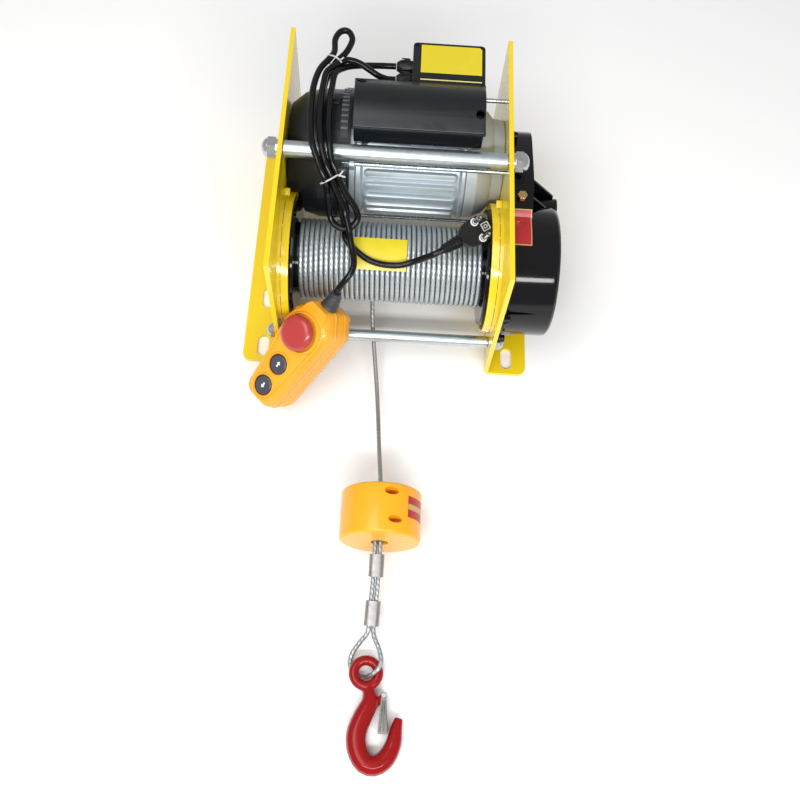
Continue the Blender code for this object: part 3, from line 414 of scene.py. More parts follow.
def mesh_of(bm, name):
    """The mesh drawn in a bmesh, which is used up."""
    mesh = bpy.data.meshes.new(name)
    bm.to_mesh(mesh)
    bm.free()
    return mesh


def in_metres(bm):
    """Turns a drawing in millimetres into the scene's metres, with its faces turned outwards."""
    for vert in bm.verts:
        vert.co = at(vert.co)
    bmesh.ops.recalc_face_normals(bm, faces=bm.faces)
    return bm


def linked(name, data):
    obj = bpy.data.objects.new(name, data)
    bpy.context.scene.collection.objects.link(obj)
    return obj


def show(name, bm, mat, body, sharp=35.0, turn=None):
    """Turns a mesh in millimetres into a smooth shaded piece that rides on a body."""
    if turn is not None:
        turned_by(bm, turn)
    return dress(name, mesh_of(in_metres(bm), name), mat, body, sharp)


def dress(name, mesh, mat, body, sharp=35.0):
    mesh.materials.clear()
    mesh.materials.append(mat)
    mesh.shade_smooth()
    mesh.set_sharp_from_angle(angle=math.radians(sharp))
    obj = linked(name, mesh)
    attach(obj, body)
    return obj


def refined(node, mat, bevel, segments=2, sharp=30.0):
    """A copy of a node with its flat faces made whole, its edges rounded and its curves shaded smooth."""
    bm = bmesh.new()
    bm.from_mesh(frame["nodes"][node].data)
    bmesh.ops.remove_doubles(bm, verts=bm.verts, dist=4e-6)
    bmesh.ops.dissolve_limit(bm, angle_limit=math.radians(0.6), verts=bm.verts, edges=bm.edges)
    name = node + "_look"
    obj = dress(name, mesh_of(bm, name), mat, frame["nodes"][node]["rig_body"], sharp)
    rounding = obj.modifiers.new("edges", "BEVEL")
    rounding.width = bevel * MM
    rounding.segments = segments
    rounding.limit_method = "ANGLE"
    rounding.angle_limit = math.radians(sharp)
    rounding.harden_normals = True
    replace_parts(obj, node)
    return obj


def evaluated(obj):
    """Applies what the modifiers make to the object's own mesh."""
    bpy.context.view_layer.update()
    graph = bpy.context.evaluated_depsgraph_get()
    made = bpy.data.meshes.new_from_object(obj.evaluated_get(graph))
    obj.modifiers.clear()
    obj.data = made


def carve(obj, cutters):
    """Cuts shapes, given as meshes in millimetres, out of a piece."""
    for bm in cutters:
        tool = linked("cutter", mesh_of(in_metres(bm), "cutter"))
        cut = obj.modifiers.new("cut", "BOOLEAN")
        cut.object = tool
        cut.operation = "DIFFERENCE"
        cut.solver = "EXACT"
        evaluated(obj)
        bpy.data.objects.remove(tool)


def placed(axis, along, a, b):
    """A point given along an axis and in the other two coordinates."""
    return {"X": (along, a, b), "Y": (a, along, b), "Z": (a, b, along)}[axis]


def lathe(profile, centre, axis="X", steps=72, sweep=360.0, start=0.0):
    """Turns (along, radius) pairs round an axis through a centre given in the other two coordinates."""
    bm = bmesh.new()
    whole = sweep == 360.0
    rings = []
    for i in range(steps if whole else steps + 1):
        angle = math.radians(start + sweep * i / steps)
        ring = []
        for along, radius in profile:
            a = centre[0] + radius * math.cos(angle)
            b = centre[1] + radius * math.sin(angle)
            ring.append(bm.verts.new(placed(axis, along, a, b)))
        rings.append(ring)
    pairs = list(zip(rings, rings[1:]))
    if whole:
        pairs.append((rings[-1], rings[0]))
    for a, b in pairs:
        for j in range(len(profile) - 1):
            bm.faces.new((a[j], a[j + 1], b[j + 1], b[j]))
    bmesh.ops.remove_doubles(bm, verts=bm.verts, dist=WELD)
    return bm


def skin(rings, foot=True):
    """A mesh through rings of points, closed at its last ring, and at its first where it has a foot."""
    bm = bmesh.new()
    rings = [[bm.verts.new(point) for point in ring] for ring in rings]
    count = len(rings[0])
    for a, b in zip(rings, rings[1:]):
        for i in range(count):
            j = (i + 1) % count
            bm.faces.new((a[i], a[j], b[j], b[i]))
    if foot:
        bm.faces.new(rings[0][::-1])
    bm.faces.new(rings[-1])
    return bm


def extrusion(outline, start, end, axis="Z"):
    """A straight solid from an outline given in the other two coordinates."""
    return skin([[placed(axis, level, a, b) for a, b in outline] for level in (start, end)])


def rounded(bm, radius, segments):
    edges = bm.edges[:]
    shape = {"profile": 0.5, "affect": "EDGES", "clamp_overlap": True}
    bmesh.ops.bevel(bm, geom=edges, offset=radius, segments=segments, **shape)
    return bm


def slab(low, high, radius=1.0, segments=3):
    """A box with rounded edges."""
    bm = bmesh.new()
    bmesh.ops.create_cube(bm, size=1.0)
    for vert in bm.verts:
        vert.co = Vector((a if c < 0 else b for c, a, b in zip(vert.co, low, high)))
    return rounded(bm, radius, segments)


def sweep(points, section, twist=0.0, scales=None):
    """Moves a section of (side, rise) pairs along points, turning it by twist degrees for each millimetre."""
    points = [Vector(p) for p in points]
    scales = scales or [1.0] * len(points)
    up = Vector((0, 0, 1))
    if abs((points[1] - points[0]).normalized().z) > 0.9:
        up = Vector((0, 1, 0))
    rings = []
    travelled = 0.0
    for i, point in enumerate(points):
        behind = points[max(i - 1, 0)]
        tangent = (points[min(i + 1, len(points) - 1)] - behind).normalized()
        up = (up - tangent * up.dot(tangent)).normalized()
        side = tangent.cross(up)
        travelled += (point - behind).length
        turn = math.radians(travelled * twist)
        aside = (side * math.cos(turn) + up * math.sin(turn)) * scales[i]
        rise = (up * math.cos(turn) - side * math.sin(turn)) * scales[i]
        rings.append([point + aside * a + rise * b for a, b in section])
    return skin(rings)


def circle(radius, steps=12):
    return arc((0, 0), radius, 0, 360, steps)[:-1]


STRANDS = 6
STRAND_SHARE = 0.94  # how much of its sixth of the turn each strand takes
RELIEF = 0.55  # depth of the valleys between strands, as grease leaves them


def strands(radius, points):
    """The outline of a rope of round strands laid round a core, each read at so many points."""
    outline = []
    reach = radius * 2 / 3
    step = 360 / STRANDS
    for i in range(STRANDS):
        for j in range(points):
            off = step * (j / points - 0.5) * STRAND_SHARE
            high = reach * math.cos(math.radians(off))
            wide = reach * math.sin(math.radians(off))
            r = high + math.sqrt(max(0.0, (radius / 3) ** 2 - wide**2))
            r = radius + (r - radius) * RELIEF
            angle = math.radians(step * i + off)
            outline.append((r * math.cos(angle), r * math.sin(angle)))
    return outline


def merged(shapes):
    """Several drawings as one."""
    whole = bmesh.new()
    for shape in shapes:
        mesh = mesh_of(shape, "part")
        whole.from_mesh(mesh)
        bpy.data.meshes.remove(mesh)
    return whole


def turned_by(bm, matrix):
    bmesh.ops.transform(bm, matrix=matrix, verts=bm.verts)
    return bm


def about(axis, degrees):
    """Brings a shape drawn over the origin to an axis along X, turned round it."""
    return Matrix.Translation((0, *axis)) @ Matrix.Rotation(math.radians(degrees), 4, "X")


# ---- camera

CAMERA_PLACE = (-2.6, -485.4, 1018.4)
CAMERA_TURN = (
    (0.9983, 0.0417, 0.0415),  # to the right of the view
    (-0.0549, 0.9153, 0.3990),  # up the view
    (-0.0214, -0.4006, 0.9160),  # towards the viewer
)
LENS = 42.075


def camera():
    data = bpy.data.cameras.new("camera")
    data.lens = LENS
    data.sensor_width = 36.0
    data.clip_start = 0.05
    data.clip_end = 50.0
    obj = linked("camera", data)
    turn = Matrix([Vector(row).normalized() for row in CAMERA_TURN]).transposed().to_4x4()
    obj.matrix_world = Matrix.Translation(at(CAMERA_PLACE)) @ turn
    bpy.context.scene.camera = obj


# ---- cords

MAINS_LEAD = [  # from its gland to the upper tie of the bundle
    (-4.9, 274.5, 209.5),
    (-11.0, 274.2, 209.7),
    (-21.0, 272.5, 211.2),
    (-36.0, 268.5, 214.5),
    (-49.0, 263.5, 218.5),
    (-60.0, 257.0, 222.0),
]
PENDANT_LEAD = [
    (-4.9, 255.5, 209.5),
    (-10.0, 255.2, 209.8),
    (-16.0, 254.5, 211.2),
    (-24.0, 254.5, 215.0),
    (-34.0, 257.0, 220.5),
    (-44.0, 260.5, 225.0),
    (-54.0, 261.5, 228.0),
    (-61.5, 259.5, 229.0),
]
MAINS_TAIL = [  # from under the lower fold of the bundle, across the wound rope, up to the plug
    (-49.6, 80.0, 154.6),
    (-42.0, 71.0, 153.2),
    (-33.0, 64.0, 150.9),
    (-24.0, 58.8, 149.0),
    (-14.0, 55.8, 147.6),
    (-2.0, 54.4, 147.0),
    (12.0, 54.4, 148.5),
    (27.0, 56.6, 154.4),
    (38.6, 57.0, 163.0),
    (47.2, 57.6, 169.4),
    (56.5, 62.4, 172.0),
]
PENDANT_TAIL = [  # from over the lower fold, down the front of the drum, into the pendant's boot
    (-45.3, 80.5, 167.4),
    (-43.6, 71.0, 165.5),
    (-41.0, 60.5, 163.2),
    (-38.8, 50.5, 161.8),
    (-38.8, 41.0, 160.4),
    (-42.2, 33.0, 157.6),
    (-47.5, 27.6, 152.4),
    (-52.6, 23.9, 145.6),
    (-55.2, 21.8, 139.3),
]
BUNDLE = [  # middle, half width and half height of the tied part, from its upper to its lower tie
    ((-72.5, 262.0, 224.4), 8.9, 6.8),
    ((-78.5, 245.0, 224.6), 12.4, 7.4),
    ((-82.0, 225.0, 225.3), 13.4, 7.4),
    ((-83.0, 200.0, 226.6), 13.6, 7.4),
    ((-82.0, 172.0, 227.2), 13.4, 7.4),
    ((-79.5, 150.0, 226.4), 12.8, 7.4),
    ((-74.5, 132.0, 219.5), 11.0, 7.4),
    ((-67.5, 119.5, 207.5), 10.9, 7.2),
]


def bundle_frame(index):
    """Which way the bundle runs at one of its places, and the directions across it and out of it."""
    behind = Vector(BUNDLE[max(index - 1, 0)][0])
    ahead = Vector(BUNDLE[min(index + 1, len(BUNDLE) - 1)][0])
    tangent = (ahead - behind).normalized()
    right = Vector((0, 0, 1)).cross(tangent).normalized()
    return tangent, right, tangent.cross(right)


def run(column, layer, first=0):
    """One strand of the bundle, down to its lower tie."""
    points = []
    for i in range(first, len(BUNDLE)):
        centre, width, height = BUNDLE[i]
        _, right, rise = bundle_frame(i)
        aside = column * (width - STRAND_INSET)
        points.append(Vector(centre) + right * aside + rise * layer * (height - STRAND_INSET))
    return points


def mains_route():
    """Down the bundle's right, round its lower fold, up its left, round the upper loop, down to the plug."""
    fold = [(-50.8, 111.2, 193.0), (-41.3, 104.8, 180.2), (-37.3, 98.5, 169.8), (-41.5, 91.6, 163.8)]
    fold += [(-51.8, 87.6, 161.9), (-62.3, 91.6, 163.8), (-67.6, 98.5, 169.8), (-68.8, 104.8, 180.2)]
    fold += [(-70.4, 111.2, 193.0)]
    loop = [(-73.6, 276.0, 225.3), (-74.0, 291.0, 226.0), (-71.6, 299.6, 226.0), (-68.0, 304.4, 226.0)]
    loop += [(-63.8, 306.0, 226.0), (-59.6, 304.2, 226.0), (-56.4, 299.2, 226.0), (-55.2, 291.0, 225.8)]
    loop += [(-60.8, 276.0, 224.4)]
    under = [(-60.0, 111.5, 190.0), (-56.0, 105.5, 176.0), (-53.0, 98.5, 163.5), (-51.2, 90.0, 155.8)]
    points = [*MAINS_LEAD, *run(1, 1, 1), *fold, *reversed(run(-1, 1)), *loop]
    return points + [*run(0, -1), *under, *MAINS_TAIL]


def pendant_route():
    """Over the mains lead, down the middle of the bundle, over its lower fold, into the boot."""
    over = [(-60.5, 110.5, 196.5), (-54.8, 104.0, 184.5), (-50.8, 97.0, 175.8), (-47.8, 89.0, 170.9)]
    return [*PENDANT_LEAD, *run(0, 1, 1), *over, *PENDANT_TAIL]


def length_of(points):
    return sum((b - a).length for a, b in zip(points, points[1:])) * MM


def flexible(name, route, nodes):
    """A round sheathed cord as one smooth tube, and its length in metres."""
    line = smooth(route, 2.0)
    data = bpy.data.curves.new(name, "CURVE")
    data.dimensions = "3D"
    data.bevel_depth = CORD / 2 * MM
    data.bevel_resolution = 4
    data.use_fill_caps = True
    spline = data.splines.new("POLY")
    spline.points.add(len(line) - 1)
    for spot, point in zip(spline.points, line):
        spot.co = (*at(point), 1.0)
    spline.use_smooth = True
    data.materials.append(BLACK_RUBBER)
    obj = linked(name, data)
    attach(obj, "frame")
    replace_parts(obj, *nodes)
    return obj, length_of(line)


def tie(name, index, lean):
    """A white wire tie twisted round the bundle, with its two short ends."""
    centre, width, height = BUNDLE[index]
    ahead, right, rise = bundle_frame(index)
    thick = 0.9
    steps = 32
    ring = []
    for i in range(steps + 1):
        angle = 2 * math.pi * i / steps + 0.9
        place = Vector(centre) + right * (width + thick) * math.cos(angle)
        place += rise * (height + thick) * math.sin(angle)
        ring.append(place + ahead * (lean * math.cos(angle) + 1.1 * i / steps))
    parts = [sweep(ring, circle(thick, 8))]
    last = ring[-1]
    out = (last - Vector(centre)).normalized()
    for sign in (-1, 1):
        tail = [last, last + out * 3 + ahead * sign, last + out * 7 + ahead * sign * 3.5]
        parts.append(sweep(smooth(tail, 1.0), circle(thick, 8)))
    return show(name, merged(parts), WHITE_TIE, "frame")


def on_plug(name, bm, mat):
    return show(name, bm, mat, "frame", 40.0, PLUG)


def plug_pieces():
    """The plug's rubber body, its pins, its earth contact and the ribs of its strain relief."""
    body = refined("mains_plug", PLUG_RUBBER, 0.8)
    places = [(0.0, -PIN_Y), (0.0, PIN_Y)]
    pin = [(-0.5, 2.55), (17.6, 2.55), (18.9, 1.9), (19.3, 0.0)]
    pins = on_plug("plug_pins", merged([lathe(pin, place, "Z", 20) for place in places]), PIN_METAL)
    # white part rings round the pin roots: painted highlight on the rims of the pin holes
    collar = [(-0.2, 4.4), (1.1, 4.4), (1.1, 3.1), (-0.2, 3.1)]
    pin_highlights = merged([lathe(collar, place, "Z", 24, 290.0, 60.0) for place in places])
    pin_highlights = on_plug("plug_pin_highlights", pin_highlights, WHITE_MARK_AND_HIGHLIGHT)
    earth = square((9.0, 0.0), 4.6, 1.1, 0.0, 1.6)
    earth.append(lathe([(0.2, 2.3), (1.4, 2.3), (1.4, 1.4), (0.2, 1.4)], (9.0, 0.0), "Z", 20))
    contact = on_plug("plug_earth_contact", merged(earth), EARTH)
    ribs = []
    for i in range(6):
        x = -40.0 + 3.6 * i
        radius = 4.9 + 0.32 * i
        top = radius + 0.7
        ring = [(x, radius - 0.9), (x + 0.2, top), (x + 1.4, top), (x + 1.6, radius - 0.9)]
        ribs.append(lathe(ring, (0.0, -12.0), "X", 24))
    relief = on_plug("plug_relief_ribs", merged(ribs), PLUG_RUBBER)
    mark = on_plug("plug_mark", slab((-12.5, -1.0, -5.05), (-8.5, 0.6, -4.6), 0.1), WHITE_MARK_AND_HIGHLIGHT)
    return [body, pins, pin_highlights, contact, relief, mark]


def square(centre, half, band, low, high):
    """The four bars of a small square frame standing on a face."""
    bars = []
    x, y = centre
    for sign in (-1, 1):
        near, far = sorted((sign * half, sign * (half - band)))
        bars.append(slab((x + near, y - half, low), (x + far, y + half, high), 0.25, 2))
        bars.append(slab((x - half, y + near, low), (x + half, y + far, high), 0.25, 2))
    return bars


def boot_piece():
    """The pendant's ribbed cable boot."""
    line = smooth([(0.0, 64.8, 10.0), (0.0, 71.0, 10.4), (0.0, 78.0, 12.0), (0.0, 85.0, 15.5)], 0.6)
    radii = []
    for i in range(len(line)):
        share = i / (len(line) - 1)
        rib = 0.35 * math.sin(2 * math.pi * share * 6) if 0.12 < share < 0.9 else 0.0
        radii.append(10.0 - 4.8 * share + rib)
    bm = sweep(line, circle(1.0, 24), scales=radii)
    boot = show("pendant_boot_look", bm, GREY_BOOT, "frame", 40.0, PENDANT)
    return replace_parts(boot, "pendant_boot")


def cords():
    mains_nodes = ("mains_cord", "mains_cord_tail", "cord_hank")
    mains, mains_length = flexible("mains_lead", mains_route(), mains_nodes)
    pendant_nodes = ("pendant_cord", "pendant_cord_tail")
    pendant, pendant_length = flexible("pendant_cable", pendant_route(), pendant_nodes)
    ties = [tie("upper_tie_wire", 0, 1.5), tie("lower_tie_wire", len(BUNDLE) - 1, -1.5)]
    on_mains = plug_pieces() + ties
    on_mains.append(gland("mains_cable_gland"))
    on_pendant = [gland("pendant_cable_gland"), boot_piece()]


def gland(node):
    """A compression gland with its hexagon and its ribbed nose."""
    obj = refined(node, GLAND, 0.4)
    high = corners(node)[1]
    place = across(middle(node))
    grips = []
    for i in range(12):
        grip = slab((high.x - 12.6, -0.8, 8.5), (high.x - 4.4, 0.8, 9.6), 0.25, 2)
        grips.append(turned_by(grip, about(place, 30 * i)))
    show(node + "_grips", merged(grips), GLAND, "frame")
    return obj


# ---- wire rope

ROPE_ROUTE = [  # from the underside of the drum, under the lower tie bar, up into the limit weight
    (-18.4, 84.0, 57.0),
    (-18.2, 72.0, 53.0),
    (-17.6, 58.0, 46.0),
    (-16.2, 40.0, 37.0),
    (-13.8, 20.0, 28.5),
    (-10.5, -5.0, 21.0),
    (-7.0, -35.0, 17.0),
    (-4.0, -68.0, 19.0),
    (-1.8, -98.0, 26.0),
    (0.2, -125.0, 34.6),
    (2.4, -150.0, 40.8),
    (4.0, -172.0, 43.0),
]
EYE_ROUTE = [  # from inside the weight down through both ferrules, round through the hook's eye, and back
    (6.0, -205.4, 43.2),
    (6.0, -226.0, 41.6),
    (6.1, -250.0, 36.0),
    (5.4, -275.0, 29.7),
    (4.0, -300.0, 23.3),
    (4.2, -318.0, 20.0),
    (10.5, -333.0, 19.6),
    (13.4, -344.0, 20.2),
    (11.5, -352.0, 19.8),
    (6.0, -357.8, 17.6),
    (1.0, -360.4, 12.6),
    (-3.0, -360.8, 7.4),
    (-9.0, -359.0, 3.6),
    (-15.0, -354.8, 2.7),
    (-19.0, -347.0, 3.2),
    (-17.0, -337.0, 6.6),
    (-9.5, -326.0, 13.0),
    (-2.0, -316.0, 19.2),
    (-1.4, -300.0, 23.3),
    (0.0, -275.0, 29.7),
    (0.7, -250.0, 36.0),
    (0.6, -226.0, 41.6),
    (-0.4, -212.0, 42.6),
]
LAY = 34.0  # length in which a strand goes once round the rope


def free_rope():
    """The stranded rope from the drum through the weight and round the hook's eye."""
    line = smooth(ROPE_ROUTE + EYE_ROUTE, 1.6)
    bm = sweep(line, strands(ROPE / 2, 4), 360.0 / LAY)
    rope = show("hoist_rope_look", bm, DARK_WIRE, "frame", 80.0)
    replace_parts(rope, "hoist_rope", "rope_eye")
    ferrules = [refined(n, FERRULE, 0.8, 3) for n in ("upper_ferrule", "lower_ferrule")]


def wound_rope():
    """Every turn of the rope on the drum, as one stranded helix whose turns touch."""
    half = WIND_HIGH.x - WOUND / 2
    radius = WIND_R - (WOUND - ROPE) / 2
    steps = TURNS * 90
    line = []
    for i in range(steps + 1):
        angle = 2 * math.pi * TURNS * i / steps - math.pi / 2
        x = -half + 2 * half * i / steps
        line.append((x, DRUM[0] + radius * math.cos(angle), DRUM[1] + radius * math.sin(angle)))
    bm = sweep(line, strands(WOUND / 2, 3), 360.0 / LAY)
    rope = show("wound_rope", bm, WIRE, "drum", 80.0)
    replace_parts(rope, "rope_winding")


def rope_label():
    """A plain paper label lying on the wound rope."""
    radius = WIND_R + ROPE / 2 + 0.15
    sheet = [(-41.0, radius), (18.0, radius), (18.0, radius + 0.2), (-41.0, radius + 0.2)]
    bm = lathe(sheet, DRUM, "X", 24, 46.0, 87.0)
    show("rope_label", bm, LABEL_YELLOW, "drum")


# ---- frame


def frame_look():
    for node in ("left_side_plate", "right_side_plate"):
        refined(node, YELLOW, 0.7, 2, 50.0)
    for node in ("upper_tie_bar", "lower_tie_bar"):
        refined(node, BAR_ZINC, 0.4, 2, 40.0)
    for node in ("upper_tie_nut_left", "upper_tie_nut_right", "lower_tie_nut_left", "lower_tie_nut_right"):
        refined(node, NUT_ZINC, 0.35, 2, 28.0)
    for side, word in ((-1, "left"), (1, "right")):
        guard_details(side, word)


def guard_details(side, word):
    """The dashed weld seam along each drum guard, drawn as thin strips of painted shadow, and the pointed lip
    where its ends meet.
    """
    radius = GUARD_R + 0.06
    x = side * (GUARD_X + 8.2)
    strip = [(x - 0.25, radius - 0.2), (x - 0.25, radius), (x + 0.25, radius), (x + 0.25, radius - 0.2)]
    dashes = (13.0, 14.2, 11.5, 13.6)
    seam = [lathe(strip, DRUM, "X", 8, dashes[i % 4], 20.0 + 15.2 * i) for i in range(22)]
    show(f"{word}_guard_seam", merged(seam), SEAM_SHADOW, "frame")
    foot, crest = GUARD_R - 1.5, GUARD_R + 6.5
    outline = [(-6.0, foot), (6.0, foot), (1.2, crest), (-1.2, crest)]
    low, high = sorted((side * (GUARD_X + 5.5), side * (GUARD_X + 11.9)))
    lip = rounded(extrusion(outline, low, high, "X"), 0.8, 2)
    turned_by(lip, about(DRUM, LIP_TURN))
    show(f"{word}_guard_lip", lip, YELLOW, "frame")


# ---- motor


def motor_look():
    ribbed_housing()
    refined("motor_front_shield", SHELL_METAL, 0.8, 3)
    refined("motor_rear_shield", CASTING, 0.5)
    for i in range(1, 5):
        refined(f"motor_stud_{i}", STUD_ZINC, 0.3, 2, 40.0)
    refined("fan_cover", SATIN_BLACK, 0.6)
    fan_cover_details()
    saddle_pads()


def ribbed_housing():
    """The extruded motor body: a sleeve with a plain band at each end and straight ribs with rounded ends."""
    low, high = corners("motor_housing")
    valley = BODY_R - 5.4
    band = 7.0
    edge = 1.2
    profile = [(low.x, 55.0), (low.x, BODY_R - edge), (low.x + edge, BODY_R), (low.x + band - edge, BODY_R)]
    profile += [(low.x + band, BODY_R - edge), (low.x + band + 1.5, valley), (high.x - band, valley)]
    profile += [(high.x - band + 1.5, BODY_R - edge), (high.x - band + 2.7, BODY_R), (high.x - edge, BODY_R)]
    profile += [(high.x, BODY_R - edge), (high.x, 55.0), (low.x, 55.0)]
    parts = [lathe(profile, MOTOR, "X", 96)]
    start, end = low.x + band + 2.5, high.x - band - 1.0
    for i in range(RIBS):
        one = rib(start, end, valley - 0.5, BODY_R, 4.4, 3.7)
        parts.append(turned_by(one, about(MOTOR, 360 * i / RIBS)))
    obj = show("motor_housing_look", merged(parts), CASTING, "frame", 40.0)
    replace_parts(obj, "motor_housing")


def rib(start, end, low, high, foot, crest):
    """One straight rib standing on +Z, wider at its foot, with rounded ends."""
    rings = []
    for z, half, inset in ((low, foot, 0.0), (high - 0.8, crest + 0.3, 1.8), (high, crest - 0.5, 2.8)):
        outline = arc((end - inset - half, 0.0), half, -90, 90, 6)
        outline += arc((start + inset + half, 0.0), half, 90, 270, 6)
        rings.append([(x, y, z) for x, y in outline])
    return skin(rings, foot=False)


def fan_cover_details():
    """The cowl's three screw lugs, the rolled rim at its open end and its air slots."""
    end = corners("fan_cover")[1].x
    rim = [(end - 1.6, COWL_R), (end - 1.6, COWL_R + 0.7), (end, COWL_R + 0.7), (end, COWL_R)]
    show("fan_cover_rim", lathe(rim, MOTOR), SATIN_BLACK, "frame")
    lugs = []
    for angle in (-12.0, 110.0, 230.0):
        lug = slab((end - 24.0, -4.0, COWL_R - 1.5), (end - 13.0, 4.0, COWL_R + 2.2), 1.2)
        lugs.append(turned_by(lug, about(MOTOR, angle)))
    show("fan_cover_lugs", merged(lugs), SATIN_BLACK, "frame")
    louvres(end - 10.7, end - 2.7)


def louvres(low, high):
    """The ring of narrow air slots round the cowl's open end, left out where the upper tie bar passes."""
    skipped = math.degrees(math.atan2(UPPER_TIE[1] - MOTOR[1], UPPER_TIE[0] - MOTOR[0]))
    band = [(low, COWL_R), (low, COWL_R + 0.25), (high, COWL_R + 0.25), (high, COWL_R)]
    show("fan_cover_slots", lathe(band, MOTOR, "X", 72, 336.0, skipped + 12.0), FAN_PLASTIC, "frame")
    fins = []
    for i in range(55):
        fin = slab((low, -1.4, COWL_R - 0.2), (high, 1.4, COWL_R + 1.1), 0.45, 2)
        fins.append(turned_by(fin, about(MOTOR, skipped - 75.0 + 6.0 * i)))
    # the fins take a grey lighter than the cowl: painted highlight
    show("fan_cover_fins", merged(fins), LOUVRE_HIGHLIGHT, "frame")


def saddle_pads():
    """Aluminium pads between the motor body and the capacitor box."""
    low, high = corners("capacitor_box_base")
    pads = []
    for x0, x1 in ((low.x + 1.0, low.x + 9.0), (low.x + 62.0, high.x - 9.0)):
        pads.append(slab((x0, low.y + 1.0, low.z - 9.0), (x1, low.y + 14.0, low.z - 0.4), 0.6, 2))
    show("saddle_pads", merged(pads), CASTING, "frame")


# ---- boxes


def boxes_look():
    refined("capacitor_box_base", BOX_PLASTIC, 1.2, 3)
    capacitor_lid()
    refined("switch_box_base", BOX_PLASTIC, 1.2, 3)
    switch_lid()


def capacitor_lid():
    """The arched lid with its rounded corners, its lip and its two deep screw holes."""
    low, high = corners("capacitor_box_lid")
    lid = refined("capacitor_box_lid", BOX_PLASTIC, 5.0, 5)
    evaluated(lid)
    places = [(low.x + 7.0, high.y - 9.0), (high.x - 6.0, low.y + 17.0)]
    hole = [(low.z + 6, 0.0), (low.z + 6, 4.7), (high.z + 3, 4.7), (high.z + 3, 0.0)]
    carve(lid, [lathe(hole, place, "Z", 24) for place in places])
    screw = [(low.z + 8, 2.9), (low.z + 10, 2.9), (low.z + 10.6, 0.0)]
    screws = [lathe(screw, place, "Z", 20) for place in places]
    show("capacitor_lid_screws", merged(screws), BLACK_SCREW, "frame")
    top = low.z + 3.0
    proud = 0.9
    lip = []
    for y in (low.y - proud, high.y - 0.4):
        lip.append(slab((low.x - proud, y, low.z), (high.x + proud, y + 1.3, top), 0.5))
    for x in (low.x - proud, high.x - 0.4):
        lip.append(slab((x, low.y - proud, low.z), (x + 1.3, high.y + proud, top), 0.5))
    show("capacitor_lid_lip", merged(lip), BOX_PLASTIC, "frame")


def switch_lid():
    """The terminal box's lid with a plain label and its corner screws."""
    low, high = corners("switch_box_lid")
    refined("switch_box_lid", BOX_PLASTIC, 1.4, 3)
    top = high.z
    left, right = low.x + 9.0, high.x - 4.0
    sheet = slab((left - 1.0, low.y + 3.2, top - 0.2), (right + 1.0, high.y - 3.0, top + 0.25), 0.1, 1)
    show("terminal_label_back", sheet, BOX_PLASTIC, "frame")
    field = slab((left, low.y + 17.5, top + 0.1), (right, high.y - 4.0, top + 0.4), 0.1, 1)
    show("terminal_label_field", field, LABEL_YELLOW, "frame")
    line = slab((left, low.y + 7.0, top + 0.1), (right, low.y + 8.6, top + 0.4), 0.1, 1)
    show("terminal_label_line", line, LABEL_PALE, "frame")
    head = [(top - 0.5, 2.2), (top + 0.7, 2.2), (top + 1.0, 1.6), (top + 1.0, 0.0)]
    places = [(x, y) for x in (low.x + 4.0, high.x - 4.0) for y in (low.y + 4.0, high.y - 4.0)]
    screws = [lathe(head, place, "Z", 16) for place in places]
    show("terminal_lid_screws", merged(screws), BLACK_SCREW, "frame")


# ---- gearbox


def gearbox_look():
    refined("gearbox_cover", BLACK_PAINT, 1.6, 4, 28.0)
    refined("oil_plug", BRASS, 0.5)
    top = corners("oil_plug")[1].z
    centre = middle("oil_plug").xy
    dimple = [(top - 0.1, 2.8), (top + 0.5, 2.4), (top + 0.5, 1.6), (top - 0.6, 0.0)]
    show("oil_plug_dimple", lathe(dimple, centre, "Z", 18), BRASS, "frame")
    cover_webs()
    cover_bolts()
    cover_label()


def on_cover(angle, radius):
    """A place on a circle round the drum axis, measured in degrees from straight up towards the front."""
    turn = math.radians(angle)
    return DRUM[0] - radius * math.sin(turn), DRUM[1] + radius * math.cos(turn)


def cover_webs():
    """Thin webs along the round cover, and two between it and the gear case."""
    webs = []
    foot = BOLT_X + 0.7
    outline = [(foot, -2.5), (foot, 2.6), (foot + 24.0, 1.1), (foot + 42.0, -1.2), (foot + 42.0, -2.5)]
    for angle in (29.0, 72.0, 128.0, 180.0, 232.0):
        web = extrusion(outline, -0.8, 0.8, "Y")
        webs.append(turned_by(web, about(on_cover(angle, COVER_R + 0.5), angle)))
    left, right, foot = TRAIN_X - 1.0, COVER_X - 2.0, IDLER[1] + 4.0
    outline = [(left, foot), (right, foot), (right, foot + 8.0), (left, foot + 40.0)]
    for y in (IDLER[0] - 12.0, IDLER[0] + 12.0):
        webs.append(extrusion(outline, y - 1.2, y + 1.2, "Y"))
    show("cover_webs", merged(webs), BLACK_PAINT, "frame")


def cover_bolts():
    """Black screws round the cover's foot."""
    spots = [on_cover(a, COVER_R + 6.5) for a in (40.0, 75.0, 108.0, 150.0, 205.0)]
    spots += [(MOTOR[0] + 41.0, MOTOR[1] + 10.0), (MOTOR[0] + 6.0, MOTOR[1] + 43.0)]
    ear = [(0.0, 0.0), (0.0, 5.6), (4.0, 5.6), (4.6, 5.0), (4.6, 0.0)]
    head = [(4.6, 4.1), (8.2, 4.1), (8.8, 3.5), (8.8, 2.0), (6.8, 1.8), (6.8, 0.0)]
    bolts = []
    for place in spots:
        for profile in (ear, head):
            bolts.append(lathe([(BOLT_X + x, r) for x, r in profile], place, "X", 24))
    show("cover_bolts", merged(bolts), BLACK_SCREW, "frame")


